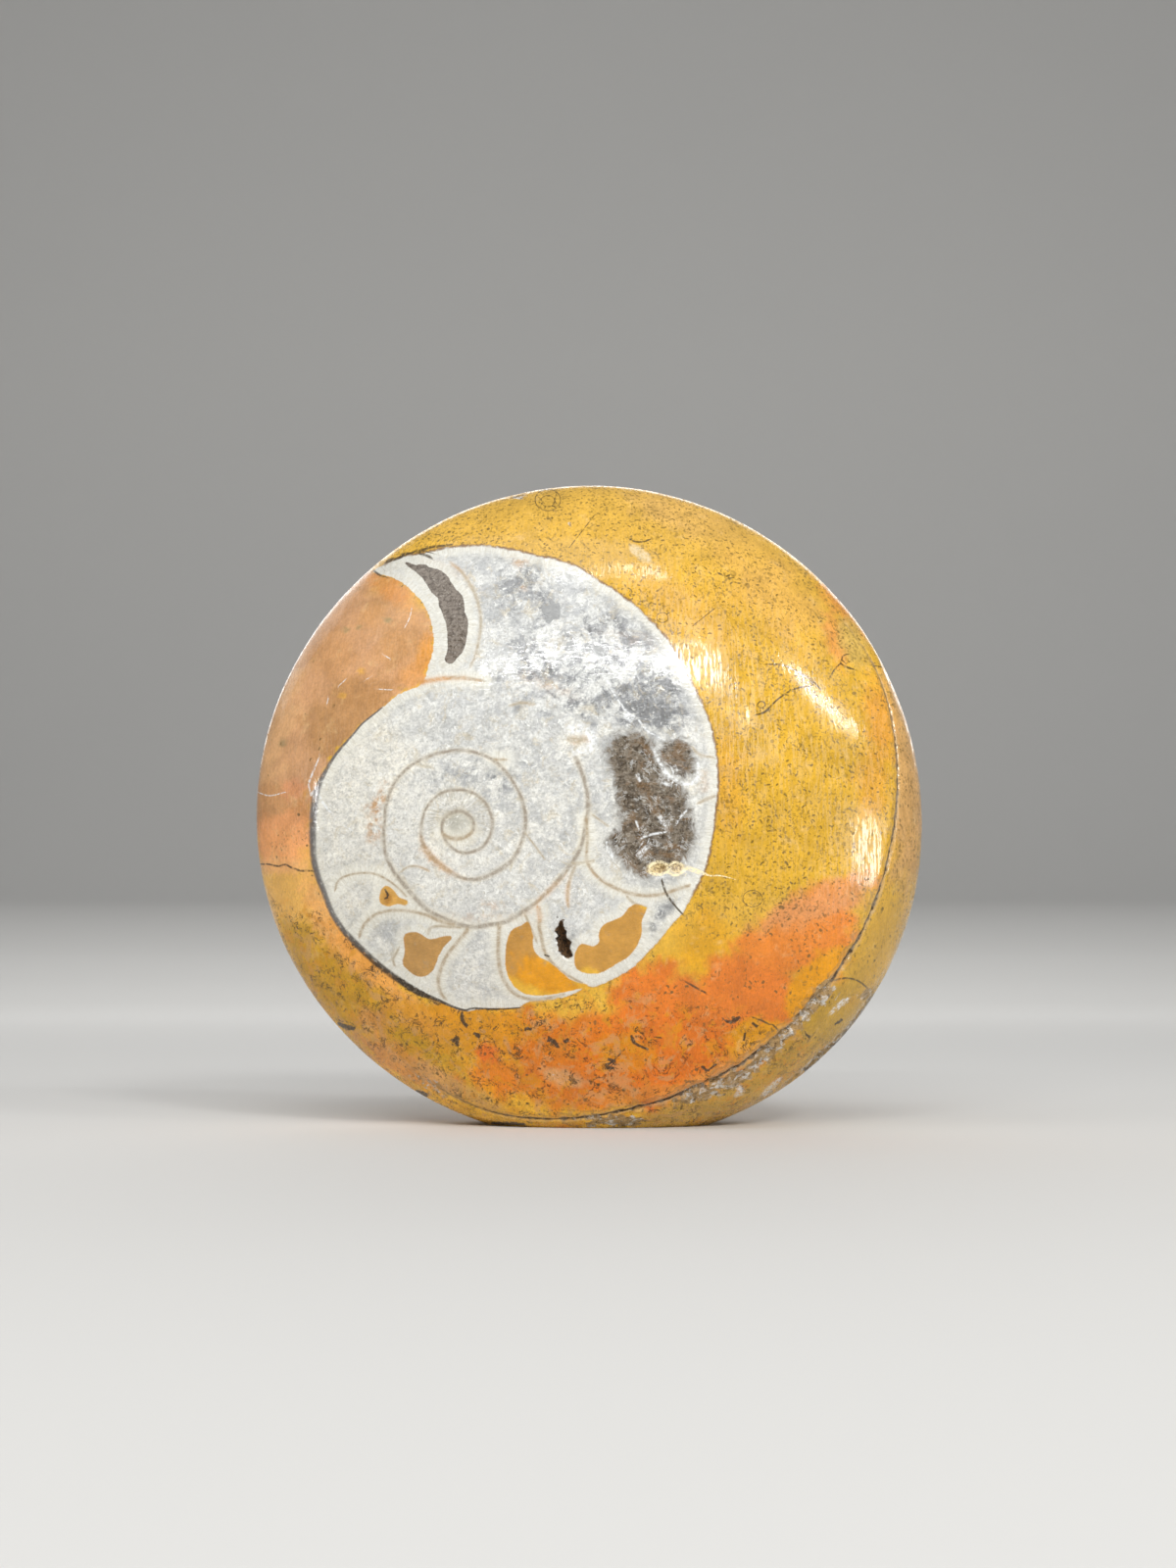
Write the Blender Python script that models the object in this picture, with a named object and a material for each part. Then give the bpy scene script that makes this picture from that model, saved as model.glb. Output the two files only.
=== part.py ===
"""A palm-sized disc of polished fossil limestone that stands on a small flat ground into its rim.

One natural piece: a domed front face with the shell cut open in it, a side wall set off from the
face by a worn seam, a flatter domed back and the flat foot. X is right, -Y is the front, Z is up,
and the origin is the centre line of the foot. Angles run anticlockwise from +X seen from the front.
"""

import math

import bmesh
import bpy
import numpy as np

MM = 0.001

# Outline of the widest section, the girth
GIRTH_RADIUS = 44.8 * MM
GIRTH_WAVES = ((1, 0.22 * MM, -90.0), (2, 0.39 * MM, 52.0), (3, 0.29 * MM, 134.0))
CENTRE_HEIGHT = 41.65 * MM

# Front face and the seam at its edge, deepest where the side wall shows most
FRONT_RISE = 19.0 * MM
FRONT_POWER = 2.4
SEAM_SIDE = math.radians(-41.0)
SEAM_DEPTH = (6.0 * MM, 15.0 * MM)
SEAM_INSET = (0.6 * MM, 7.0 * MM)
SEAM_SPREAD = (-2.5, 8.2)
FACE_ROUNDING = (9.0 * MM, 1.0 * MM)
WALL_ROUNDING = (5.0 * MM, 0.8 * MM)

# Back face
BACK_RISE = 17.0 * MM
BACK_POWER = 2.4
BACK_EDGE_DEPTH = 10.0 * MM
BACK_INSET = 3.2 * MM
BACK_ROUNDING = (3.0 * MM, 2.5 * MM)

# Groove along the seam, and chips broken out of it: angle, half width in degrees, depth
SEAM_GROOVE = 0.30 * MM
SEAM_CHIPS = (
    (-8.0, 4.0, 0.20 * MM),
    (-31.0, 4.0, 0.35 * MM),
    (-44.0, 6.0, 0.55 * MM),
    (-54.0, 5.0, 0.60 * MM),
    (-68.0, 7.0, 0.60 * MM),
    (-82.0, 6.0, 0.45 * MM),
)

# Broken ledge on the side wall, just ahead of the girth
LEDGE_MIDDLE = -43.0
LEDGE_HALF_WIDTH = 15.0
LEDGE_DEPTH = 0.5 * MM

# Hollow between two chambers, long and narrow, and a chipped pit on the seam of two crystals
HOLLOW_ENDS = ((-4.06 * MM, -14.47 * MM), (-2.81 * MM, -19.43 * MM))
HOLLOW_WIDTH = 1.5 * MM
HOLLOW_DEPTH = 1.5 * MM
CHIP_ENDS = ((7.6 * MM, -8.6 * MM), (11.6 * MM, -8.7 * MM))
CHIP_WIDTH = 1.4 * MM
CHIP_DEPTH = 0.35 * MM

COLUMNS = 90
FACE_ROWS = 15
WALL_ROWS = 3
BACK_ROWS = 10


def girth_radius(angle):
    waves = sum(size * math.cos(count * angle + math.radians(turn)) for count, size, turn in GIRTH_WAVES)
    return GIRTH_RADIUS + waves


def seam_share(angle):
    """Nought where the face rolls straight into the rim, one where the side wall shows most."""

    def softened(cosine):
        reach = SEAM_SPREAD[0] + SEAM_SPREAD[1] * cosine
        return (reach + math.hypot(reach, 1.0)) / 2

    return softened(math.cos(angle - SEAM_SIDE)) / softened(1.0)


def seam_sharpness(angle):
    """How little the edge of the face is rounded: it sharpens soon after the side wall appears."""
    return 1 - (1 - seam_share(angle)) ** 8


def between(pair, share):
    return pair[0] + (pair[1] - pair[0]) * share


def face_depth(radius, angle):
    """How far the front face stands ahead of the girth."""
    share = seam_share(angle)
    reach = radius / (girth_radius(angle) - between(SEAM_INSET, share))
    return FRONT_RISE * (1 - reach**FRONT_POWER) + between(SEAM_DEPTH, share) * reach**2


def wall_radius(angle, depth):
    """Radius of the side wall at a depth, negative ahead of the girth."""
    share = seam_share(angle)
    if depth < 0:
        inset = between(SEAM_INSET, share) * (depth / between(SEAM_DEPTH, share)) ** 2
    else:
        inset = BACK_INSET * (depth / BACK_EDGE_DEPTH) ** 2
    radius = girth_radius(angle) - inset
    if math.sin(angle) < -0.5:
        radius = min(radius, CENTRE_HEIGHT / -math.sin(angle))
    return radius


def foot_depths(angle):
    """Front and back edge of the foot at an angle; a narrow strip of wall beside the foot."""
    strip = 0.4 * MM
    cut = 0.0
    if math.sin(angle) < -0.5:
        cut = max(girth_radius(angle) + CENTRE_HEIGHT / math.sin(angle), 0.0)
    share = seam_share(angle)
    ahead = between(SEAM_DEPTH, share) * math.sqrt(cut / between(SEAM_INSET, share))
    behind = BACK_EDGE_DEPTH * math.sqrt(cut / BACK_INSET)
    return -max(ahead, strip), max(behind, strip)


def bent(start, corner, end, count):
    """Points of a rounded corner, both ends included."""
    steps = np.linspace(0.0, 1.0, count)[:, None]
    start, corner, end = (np.array(point) for point in (start, corner, end))
    return (1 - steps) ** 2 * start + 2 * steps * (1 - steps) * corner + steps**2 * end


def bump(angle, middle, half_width):
    """One at the middle angle, falling to nought at the half width."""
    away = abs(math.remainder(angle - math.radians(middle), math.tau)) / math.radians(half_width)
    return max(1 - away**2, 0.0) ** 2


def section(angle):
    """Radius and depth down one column, from the front to the back, both poles left out."""
    share = seam_share(angle)
    seam_depth = between(SEAM_DEPTH, share)
    seam_radius = girth_radius(angle) - between(SEAM_INSET, share)
    sharpness = seam_sharpness(angle)
    foot_front, foot_back = foot_depths(angle)

    face_end = seam_radius - between(FACE_ROUNDING, sharpness)
    face = [
        (radius, -face_depth(radius, angle))
        for radius in face_end * (np.arange(1, FACE_ROWS) / FACE_ROWS) ** 0.9
    ]

    wall_start = -seam_depth + min(between(WALL_ROUNDING, sharpness), seam_depth + foot_front - 0.25 * MM)
    seam = bent(
        (face_end, -face_depth(face_end, angle)),
        (seam_radius, -seam_depth),
        (wall_radius(angle, wall_start), wall_start),
        5,
    )
    chips = sum(depth * bump(angle, middle, width) for middle, width, depth in SEAM_CHIPS)
    seam[2] += (SEAM_GROOVE + chips) * sharpness * np.array((-0.75, 0.66))

    front_wall = [(wall_radius(angle, y), y) for y in np.linspace(wall_start, foot_front, WALL_ROWS + 2)[1:]]
    ledge = LEDGE_DEPTH * bump(angle, LEDGE_MIDDLE, LEDGE_HALF_WIDTH)
    front_wall[-2] = (front_wall[-2][0] - ledge, front_wall[-2][1])

    wall_end = BACK_EDGE_DEPTH - min(BACK_ROUNDING[1], BACK_EDGE_DEPTH - foot_back - 0.25 * MM)
    back_wall = [(wall_radius(angle, y), y) for y in (0.0, foot_back)]
    back_wall += [(wall_radius(angle, y), y) for y in np.linspace(foot_back, wall_end, WALL_ROWS + 1)[1:-1]]

    back_radius = girth_radius(angle) - BACK_INSET
    back_start = back_radius - BACK_ROUNDING[0]
    back_edge = bent(
        (wall_radius(angle, wall_end), wall_end),
        (back_radius, BACK_EDGE_DEPTH),
        (back_start, back_depth(back_start / back_radius)),
        5,
    )
    back = [
        (radius, back_depth(radius / back_radius))
        for radius in back_start * (np.arange(BACK_ROWS - 1, 0, -1) / BACK_ROWS) ** 0.9
    ]
    return [*face, *map(tuple, seam), *front_wall, *back_wall, *map(tuple, back_edge), *back]


def back_depth(reach):
    return BACK_RISE - (BACK_RISE - BACK_EDGE_DEPTH) * reach**BACK_POWER


def foot_corners():
    """Angles at which the foot starts and ends, found by halving."""
    corners = []
    for inside, outside in ((-90.0, -130.0), (-90.0, -50.0)):
        for _ in range(40):
            middle = (inside + outside) / 2
            angle = math.radians(middle)
            if girth_radius(angle) * math.sin(angle) < -CENTRE_HEIGHT:
                inside = middle
            else:
                outside = middle
        corners.append(math.radians(inside))
    return corners


def column_angles():
    angles = np.linspace(-math.pi, math.pi, COLUMNS, endpoint=False)
    for corner in foot_corners():
        angles[np.argmin(np.abs(angles - corner))] = corner
    return angles


def stone_mesh():
    angles = column_angles()
    columns = np.array([section(angle) for angle in angles])
    rows = columns.shape[1]
    radius, depth = columns[..., 0], columns[..., 1]
    across = np.cos(angles)[:, None]
    upward = np.sin(angles)[:, None]
    points = np.stack([radius * across, depth, radius * upward + CENTRE_HEIGHT], axis=-1)
    points[..., 2] = np.maximum(points[..., 2], 0.0)

    mesh = bmesh.new()
    grid = [[mesh.verts.new(point) for point in column] for column in points]
    front = mesh.verts.new((0.0, -FRONT_RISE, CENTRE_HEIGHT))
    back = mesh.verts.new((0.0, BACK_RISE, CENTRE_HEIGHT))
    for here in range(COLUMNS):
        there = (here + 1) % COLUMNS
        mesh.faces.new((front, grid[here][0], grid[there][0]))
        mesh.faces.new((back, grid[there][-1], grid[here][-1]))
        for row in range(rows - 1):
            low, high = grid[here][row : row + 2], grid[there][row : row + 2]
            mesh.faces.new((low[0], low[1], high[0]))
            mesh.faces.new((low[1], high[1], high[0]))
    bmesh.ops.recalc_face_normals(mesh, faces=mesh.faces)
    data = bpy.data.meshes.new("fossil_stone")
    mesh.to_mesh(data)
    mesh.free()
    return data


def pit_cutter(name, ends, width, depth, sharpness):
    """A long rounded cutter, sunk into the front face between two points given as x and height."""
    middle = [(ends[0][axis] + ends[1][axis]) / 2 for axis in (0, 1)]
    length = math.dist(*ends)
    tilt = math.atan2(ends[1][1] - ends[0][1], ends[1][0] - ends[0][0])
    surface = face_depth(math.hypot(*middle), math.atan2(middle[1], middle[0]))
    mesh = bmesh.new()
    bmesh.ops.create_uvsphere(mesh, u_segments=14, v_segments=9, radius=1.0)
    for vert in mesh.verts:
        x, y, z = vert.co
        narrowing = 1 - sharpness * x**2
        along, over = x * length / 2, z * width / 2 * narrowing
        vert.co = (
            middle[0] + along * math.cos(tilt) - over * math.sin(tilt),
            -surface + y * depth * narrowing,
            CENTRE_HEIGHT + middle[1] + along * math.sin(tilt) + over * math.cos(tilt),
        )
    bmesh.ops.recalc_face_normals(mesh, faces=mesh.faces)
    data = bpy.data.meshes.new(name)
    mesh.to_mesh(data)
    mesh.free()
    cutter = bpy.data.objects.new(name, data)
    cutter.hide_render = True
    cutter.display_type = "WIRE"
    bpy.context.scene.collection.objects.link(cutter)
    return cutter


def polished_limestone():
    material = bpy.data.materials.new("polished_fossil_limestone")
    material.use_nodes = True
    shader = material.node_tree.nodes["Principled BSDF"]
    shader.inputs["Base Color"].default_value = (0.66, 0.40, 0.09, 1.0)
    shader.inputs["Roughness"].default_value = 0.25
    return material


def main():
    for old in list(bpy.data.objects):
        bpy.data.objects.remove(old)

    data = stone_mesh()
    data.materials.append(polished_limestone())
    data.polygons.foreach_set("use_smooth", [True] * len(data.polygons))
    stone = bpy.data.objects.new("fossil_stone", data)
    bpy.context.scene.collection.objects.link(stone)

    cutters = (
        pit_cutter("hollow_cutter", HOLLOW_ENDS, HOLLOW_WIDTH, HOLLOW_DEPTH, 0.5),
        pit_cutter("chip_cutter", CHIP_ENDS, CHIP_WIDTH, CHIP_DEPTH, 0.3),
    )
    for cutter in cutters:
        cut = stone.modifiers.new(cutter.name, "BOOLEAN")
        cut.operation = "DIFFERENCE"
        cut.solver = "EXACT"
        cut.object = cutter


main()
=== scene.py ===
"""A polished disc of fossil limestone on a pale floor, with the shell cut open in its front face.

The stone is one closed surface, worked out on a grid of angle round the stone and row from the
front pole to the back pole. Everything drawn in the stone is first a distance from a named curve,
given in pixels of the photograph, which the camera set up here projects onto the front face.
Lengths are in metres where a constant uses MM, and X is right, -Y the front, Z up.
"""

import math

import bpy
import numpy as np
from mathutils import Matrix, Quaternion, Vector


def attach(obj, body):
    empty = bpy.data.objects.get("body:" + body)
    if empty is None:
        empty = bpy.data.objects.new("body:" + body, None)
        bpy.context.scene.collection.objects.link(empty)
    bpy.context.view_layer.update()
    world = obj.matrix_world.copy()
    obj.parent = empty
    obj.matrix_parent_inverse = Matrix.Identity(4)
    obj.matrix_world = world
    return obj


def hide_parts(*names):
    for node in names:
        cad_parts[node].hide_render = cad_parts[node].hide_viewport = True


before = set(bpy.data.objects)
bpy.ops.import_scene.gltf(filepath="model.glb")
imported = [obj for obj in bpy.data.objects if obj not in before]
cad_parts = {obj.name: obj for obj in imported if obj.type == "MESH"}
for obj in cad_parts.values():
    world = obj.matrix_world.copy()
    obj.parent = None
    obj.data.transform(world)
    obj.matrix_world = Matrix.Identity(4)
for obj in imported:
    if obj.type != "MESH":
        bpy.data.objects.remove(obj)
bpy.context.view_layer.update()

MM = 0.001
PIXEL = 0.125  # millimetres of the front face that one pixel of the photograph covers

# Shape of the stone
GIRTH_RADIUS = 44.8 * MM
GIRTH_WAVES = ((1, 0.22 * MM, -90.0), (2, 0.39 * MM, 52.0), (3, 0.29 * MM, 134.0))
CENTRE_HEIGHT = 41.65 * MM
FRONT_RISE = 19.0 * MM
FRONT_POWER = 2.4
SEAM_SIDE = math.radians(-41.0)
SEAM_DEPTH = (6.0 * MM, 15.0 * MM)
SEAM_INSET = (0.6 * MM, 7.0 * MM)
SEAM_SPREAD = (-2.5, 8.2)
FACE_ROUNDING = (9.0 * MM, 1.0 * MM)
WALL_ROUNDING = (5.0 * MM, 0.8 * MM)
BACK_RISE = 17.0 * MM
BACK_POWER = 2.4
BACK_EDGE_DEPTH = 10.0 * MM
BACK_INSET = 3.2 * MM
BACK_ROUNDING = (3.0 * MM, 2.5 * MM)
SEAM_GROOVE = 0.30 * MM
SEAM_CHIPS = (
    (-8.0, 4.0, 0.20 * MM),
    (-31.0, 4.0, 0.35 * MM),
    (-44.0, 6.0, 0.55 * MM),
    (-54.0, 5.0, 0.60 * MM),
    (-68.0, 7.0, 0.60 * MM),
    (-82.0, 6.0, 0.45 * MM),
)
LEDGE_MIDDLE = -43.0
LEDGE_HALF_WIDTH = 15.0
LEDGE_PLACE = -4.2 * MM
LEDGE_DEPTH = 0.5 * MM
RUBBLE_DEPTH = 0.22 * MM
HOLLOW_DEPTH = 1.3 * MM
PIT_DEPTH = 0.3 * MM
SLOW_WAVE = 0.030 * MM
QUICK_WAVE = 0.008 * MM

# Relief of the polish and of broken stone, finer than the grid, and the middle of the shell's coil
WAVE_HEIGHT = 0.03 * MM
CRUMB_HEIGHT = 0.35 * MM
COIL_MIDDLE = (-16.9, 40.1)  # millimetres right of the stone's middle, and above the floor

COLUMNS = 600
FACE_ROWS = 92
SEAM_ROWS = 24
WALL_ROWS = 16
BACK_WALL_ROWS = 6
BACK_EDGE_ROWS = 10
BACK_ROWS = 14

# Viewpoint of the photograph, 1200 by 1600 pixels
PICTURE = (1200, 1600)
LENS_MM = 50.0
SENSOR_MM = 36.0
VIEW_DISTANCE = 295 * MM
VIEW_HEIGHT = 20.6 * MM
STONE_PIXEL = (602.6, 830.3)
OFF_PICTURE = -500.0


def girth_radius(angle):
    """Radius of the outline seen from the front: a circle plus three waves round it."""
    return GIRTH_RADIUS + sum(
        size * np.cos(count * angle + math.radians(turn)) for count, size, turn in GIRTH_WAVES
    )


def seam_share(angle):
    """Nought where the face rolls straight into the rim, one where the side wall shows most."""

    def softened(cosine):
        reach = SEAM_SPREAD[0] + SEAM_SPREAD[1] * cosine
        return (reach + np.hypot(reach, 1.0)) / 2

    return softened(np.cos(angle - SEAM_SIDE)) / softened(1.0)


def between(pair, share):
    return pair[0] + (pair[1] - pair[0]) * share


def face_depth(radius, angle):
    """How far the front face stands forward: a dome that falls with a power of the share of the radius."""
    share = seam_share(angle)
    reach = radius / (girth_radius(angle) - between(SEAM_INSET, share))
    return FRONT_RISE * (1 - reach**FRONT_POWER) + between(SEAM_DEPTH, share) * reach**2


def back_depth(reach):
    return BACK_RISE - (BACK_RISE - BACK_EDGE_DEPTH) * reach**BACK_POWER


def wall_radius(angle, depth):
    """Radius of the side wall at a depth, cut flat by the foot."""
    share = seam_share(angle)
    ahead = between(SEAM_INSET, share) * (depth / between(SEAM_DEPTH, share)) ** 2
    behind = BACK_INSET * (depth / BACK_EDGE_DEPTH) ** 2
    radius = girth_radius(angle) - np.where(depth < 0, ahead, behind)
    low = np.sin(angle) < -0.5
    return np.where(low, np.minimum(radius, CENTRE_HEIGHT / np.maximum(-np.sin(angle), 0.5)), radius)


def foot_depths(angle):
    """Front and back limits of the flat foot, where the round wall would pass below the floor."""
    strip = 0.4 * MM
    low = np.sin(angle) < -0.5
    cut = np.where(low, girth_radius(angle) - CENTRE_HEIGHT / np.maximum(-np.sin(angle), 0.5), 0.0)
    cut = np.maximum(cut, 0.0)
    share = seam_share(angle)
    ahead = between(SEAM_DEPTH, share) * np.sqrt(cut / between(SEAM_INSET, share))
    behind = BACK_EDGE_DEPTH * np.sqrt(cut / BACK_INSET)
    return -np.maximum(ahead, strip), np.maximum(behind, strip)


def bent(start, corner, end, count):
    """A corner rounded by a second-degree curve: (1-t)^2 start + 2t(1-t) corner + t^2 end."""
    t = np.linspace(0.0, 1.0, count)[None, :, None]
    start, corner, end = (
        np.stack(np.broadcast_arrays(*point), axis=-1)[:, None] for point in (start, corner, end)
    )
    return (1 - t) ** 2 * start + 2 * t * (1 - t) * corner + t**2 * end


def run(start, end, count):
    """Evenly spaced steps from start to end for each column, the start left out."""
    steps = np.arange(1, count + 1) / count
    return start[:, None] + (end - start)[:, None] * steps


def section_grid(angle):
    """Radius and depth at every column and row, from the front pole to the back pole.

    Front face, then the rounded seam, the side wall, the rounded back edge and the back face, each
    stretched between the widths that the seam's place gives at that angle.
    """
    share = seam_share(angle)
    sharpness = 1 - (1 - share) ** 8
    seam_depth = between(SEAM_DEPTH, share)
    seam_radius = girth_radius(angle) - between(SEAM_INSET, share)
    foot_front, foot_back = foot_depths(angle)
    column = angle[:, None]

    face_end = seam_radius - between(FACE_ROUNDING, sharpness)
    face_radius = run(np.zeros(COLUMNS), face_end, FACE_ROWS)[:, :-1]
    face = np.stack([face_radius, -face_depth(face_radius, column)], axis=-1)

    wall_start = -seam_depth + np.minimum(
        between(WALL_ROUNDING, sharpness), seam_depth + foot_front - 0.25 * MM
    )
    seam = bent(
        (face_end, -face_depth(face_end, angle)),
        (seam_radius, -seam_depth),
        (wall_radius(angle, wall_start), wall_start),
        SEAM_ROWS,
    )
    wall_end = BACK_EDGE_DEPTH - np.minimum(BACK_ROUNDING[1], BACK_EDGE_DEPTH - foot_back - 0.25 * MM)
    wall_depth = np.concatenate(
        [
            run(wall_start, foot_front, WALL_ROWS),
            run(foot_front, foot_back, 4),
            run(foot_back, wall_end, BACK_WALL_ROWS)[:, :-1],
        ],
        axis=1,
    )
    wall = np.stack([wall_radius(column, wall_depth), wall_depth], axis=-1)

    back_radius = girth_radius(angle) - BACK_INSET
    back_start = back_radius - BACK_ROUNDING[0]
    back_edge = bent(
        (wall_radius(angle, wall_end), wall_end),
        (back_radius, np.full(COLUMNS, BACK_EDGE_DEPTH)),
        (back_start, back_depth(back_start / back_radius)),
        BACK_EDGE_ROWS,
    )
    inner = run(back_start, np.zeros(COLUMNS), BACK_ROWS)[:, :-1]
    back = np.stack([inner, back_depth(inner / back_radius[:, None])], axis=-1)
    return np.concatenate([face, seam, wall, back_edge, back], axis=1)


def viewpoint():
    """Eye and the view's forward, right and up, so that the stone's middle falls on its pixel."""
    focal = LENS_MM / SENSOR_MM * PICTURE[1]
    eye = np.array((0.0, -VIEW_DISTANCE, VIEW_HEIGHT))
    rise = math.atan2(CENTRE_HEIGHT - VIEW_HEIGHT, VIEW_DISTANCE)
    rise += math.atan((STONE_PIXEL[1] - PICTURE[1] / 2) / focal)
    turn = math.atan((STONE_PIXEL[0] - PICTURE[0] / 2) / focal)
    forward = np.array((-math.sin(turn) * math.cos(rise), math.cos(turn) * math.cos(rise), math.sin(rise)))
    right = np.cross(forward, (0.0, 0.0, 1.0))
    right /= np.linalg.norm(right)
    return eye, forward, right, np.cross(right, forward), focal


def picture_place(points):
    """Pixel across and down at which the photograph shows each point."""
    eye, forward, right, up, focal = viewpoint()
    away = points - eye
    depth = away @ forward
    across = PICTURE[0] / 2 + focal * (away @ right) / depth
    down = PICTURE[1] / 2 - focal * (away @ up) / depth
    return np.stack([across, down], axis=-1)


def bump(angle, middle, half_width):
    """A swelling along the seam: (1 - t^2)^2, with t the angle from its middle over its half width."""
    away = np.abs((angle - math.radians(middle) + math.pi) % math.tau - math.pi) / math.radians(half_width)
    return np.maximum(1 - away**2, 0.0) ** 2


def ripple(points, size, seed, waves=9):
    """Smooth irregular value about nought: plane waves of about this size in mixed directions, summed and
    divided by the root of their number.
    """
    chance = np.random.default_rng(seed)
    directions = chance.normal(size=(waves, 3))
    directions /= np.linalg.norm(directions, axis=1)[:, None]
    lengths = size * chance.uniform(0.6, 1.7, waves)
    turns = chance.uniform(0, math.tau, waves)
    slopes = directions * (math.tau / lengths)[:, None]
    return np.sin(points @ slopes.T + turns).sum(axis=-1) / math.sqrt(waves)


def smooth(low, high, value):
    """Nought below low, one above high, and 3t^2 - 2t^3 between."""
    t = np.clip((value - low) / (high - low), 0.0, 1.0)
    return t * t * (3 - 2 * t)


def stone_grid():
    """Angles, and every grid point's place before the chips are broken out of it."""
    angle = np.linspace(-math.pi, math.pi, COLUMNS, endpoint=False)
    section = section_grid(angle)
    radius, depth = section[..., 0], section[..., 1]
    across, upward = np.cos(angle)[:, None], np.sin(angle)[:, None]
    points = np.stack([radius * across, depth, radius * upward + CENTRE_HEIGHT], axis=-1)
    points[..., 2] = np.maximum(points[..., 2], 0.0)
    return angle, points


def outward(points):
    """Unit normals from the steps to the next column and row."""
    over = np.roll(points, -1, axis=0) - np.roll(points, 1, axis=0)
    along = np.gradient(points, axis=1)
    normal = np.cross(along, over)
    return normal / np.maximum(np.linalg.norm(normal, axis=-1, keepdims=True), 1e-12)


def grid_faces(columns, rows):
    """Quads of the grid, closed round the angle, and a fan at each pole."""
    index = np.arange(columns * rows).reshape(columns, rows)
    after = np.roll(index, -1, axis=0)
    quads = np.stack([index[:, :-1], index[:, 1:], after[:, 1:], after[:, :-1]], axis=-1).reshape(-1, 4)
    front, back = columns * rows, columns * rows + 1
    fans = [(front, int(a), int(b)) for a, b in zip(index[:, 0], after[:, 0])]
    fans += [(back, int(b), int(a)) for a, b in zip(index[:, -1], after[:, -1])]
    return [tuple(quad) for quad in quads.tolist()] + fans


# Curves drawn on the front face, in pixels of the photograph
SHELL = (
    (381, 583), (393, 575), (412, 567), (426, 565), (440, 562), (455, 558.5), (471, 557), (488, 556),
    (502, 557), (519, 560), (536, 563), (548, 567), (562, 569), (573, 572), (590, 578), (602, 586),
    (614, 594), (626, 601), (638, 610), (650, 619), (661, 630), (671, 640), (679, 649), (686, 659),
    (692, 670), (698, 680), (704, 692), (711, 706), (717, 718), (722, 730), (726, 742), (729, 756),
    (732, 773), (733, 790), (733, 806), (731, 825), (729, 845), (726, 862), (722, 881), (715, 898),
    (706, 914), (697, 931), (685, 944), (673, 959), (659, 974), (647, 986), (632, 996), (620, 1002),
    (608, 1007), (597, 1006), (592, 1011), (578, 1017), (563, 1019.5), (549, 1021), (537, 1023),
    (530, 1028), (516, 1029), (501, 1029), (487, 1030), (478, 1032), (466, 1030), (454, 1025),
    (442, 1019), (433, 1015), (421, 1009), (407, 1000), (393, 990), (381, 980), (369, 970), (357, 958),
    (345, 944), (336, 928), (329, 909), (323, 893), (319, 876), (318, 859), (318.5, 843), (320, 826),
    (324, 810), (326, 799), (332, 787), (340, 773), (350, 761), (359, 751), (369, 739), (380, 730),
    (390, 722), (402, 712), (414, 705), (425, 701), (433, 694), (436, 684), (439, 674), (442, 662),
    (442.5, 649), (440.5, 637), (437, 626), (430, 614), (421, 604), (412, 595.5), (402, 590), (393, 587),
)
BODY_CHAMBER = (
    (381, 583), (393, 587), (402, 590), (412, 595.5), (421, 604), (430, 614), (437, 626), (440.5, 637),
    (442.5, 649), (442, 662), (439, 674), (436, 684), (433, 694), (425, 701), (414, 705), (402, 712),
    (390, 722), (380, 730), (369, 739), (359, 751), (350, 761), (340, 773), (332, 787), (326, 799),
    (322, 816), (312, 806), (303, 817), (293, 821), (283, 831), (268, 829), (250, 833), (240, 760),
    (262, 680), (300, 620), (340, 580),
)
FILLED_CHAMBERS = (
    ((389, 908), (395, 903.5), (402.5, 909.5), (407, 915.5), (415.5, 919), (414, 924), (405, 922.5),
     (397.5, 925), (389, 922.5), (387, 917)),
    ((412, 955), (421.5, 951), (430, 953.5), (438, 958.5), (450, 956), (461, 955), (459.5, 959.5),
     (452.5, 967), (447.5, 976), (443, 988), (435.5, 995.5), (426, 996.5), (416.5, 990.5), (410.5, 983),
     (413, 971.5)),
    ((539, 940.5), (544, 955), (544, 967), (550, 976), (559.5, 981), (571.5, 990.5), (583, 1000),
     (598, 1004.5), (601, 1008), (590.5, 1009.5), (578.5, 1012), (559.5, 1015.5), (543, 1015.5),
     (531, 1012), (521.5, 1002.5), (516.5, 990.5), (515.5, 976), (516.5, 964), (520, 952.5), (526, 946.5),
     (533, 944)),
    ((657.5, 925), (660, 927.5), (655, 940.5), (655, 952.5), (649, 967), (639.5, 977.5), (627.5, 984.5),
     (618, 990.5), (608.5, 993.5), (596.5, 993), (588, 988), (586, 980), (588, 969), (594, 963),
     (604, 965.5), (611, 962), (611, 952.5), (615.5, 944), (625, 939.5), (635, 934.5), (642, 926),
     (649, 922.5)),
)
DARK_CHAMBER = (
    (413, 575), (416.5, 573.5), (424, 576.5), (432, 575.5), (440.5, 579.5), (450, 582), (457, 588.5),
    (460.5, 594), (465.5, 601.5), (471.5, 607.5), (474, 617), (474.5, 625), (478, 635), (476.5, 647),
    (474, 661), (468, 669.5), (460.5, 677.5), (453.5, 673.5), (456.5, 664.5), (456.5, 651.5), (455, 637),
    (451, 625), (447.5, 617), (446.5, 610), (440.5, 605), (435.5, 596.5), (430, 588.5), (422.5, 582.5),
)
HOLLOW = (
    (567, 933), (571, 938), (576, 938.5), (574, 944), (578, 950), (577.5, 956), (583, 961), (581.5, 968),
    (585, 974), (580, 978.5), (574, 976), (569.5, 970), (569, 963), (565, 960), (569, 955), (564.5, 949.5),
    (568.5, 946), (570, 941),
)
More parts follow.
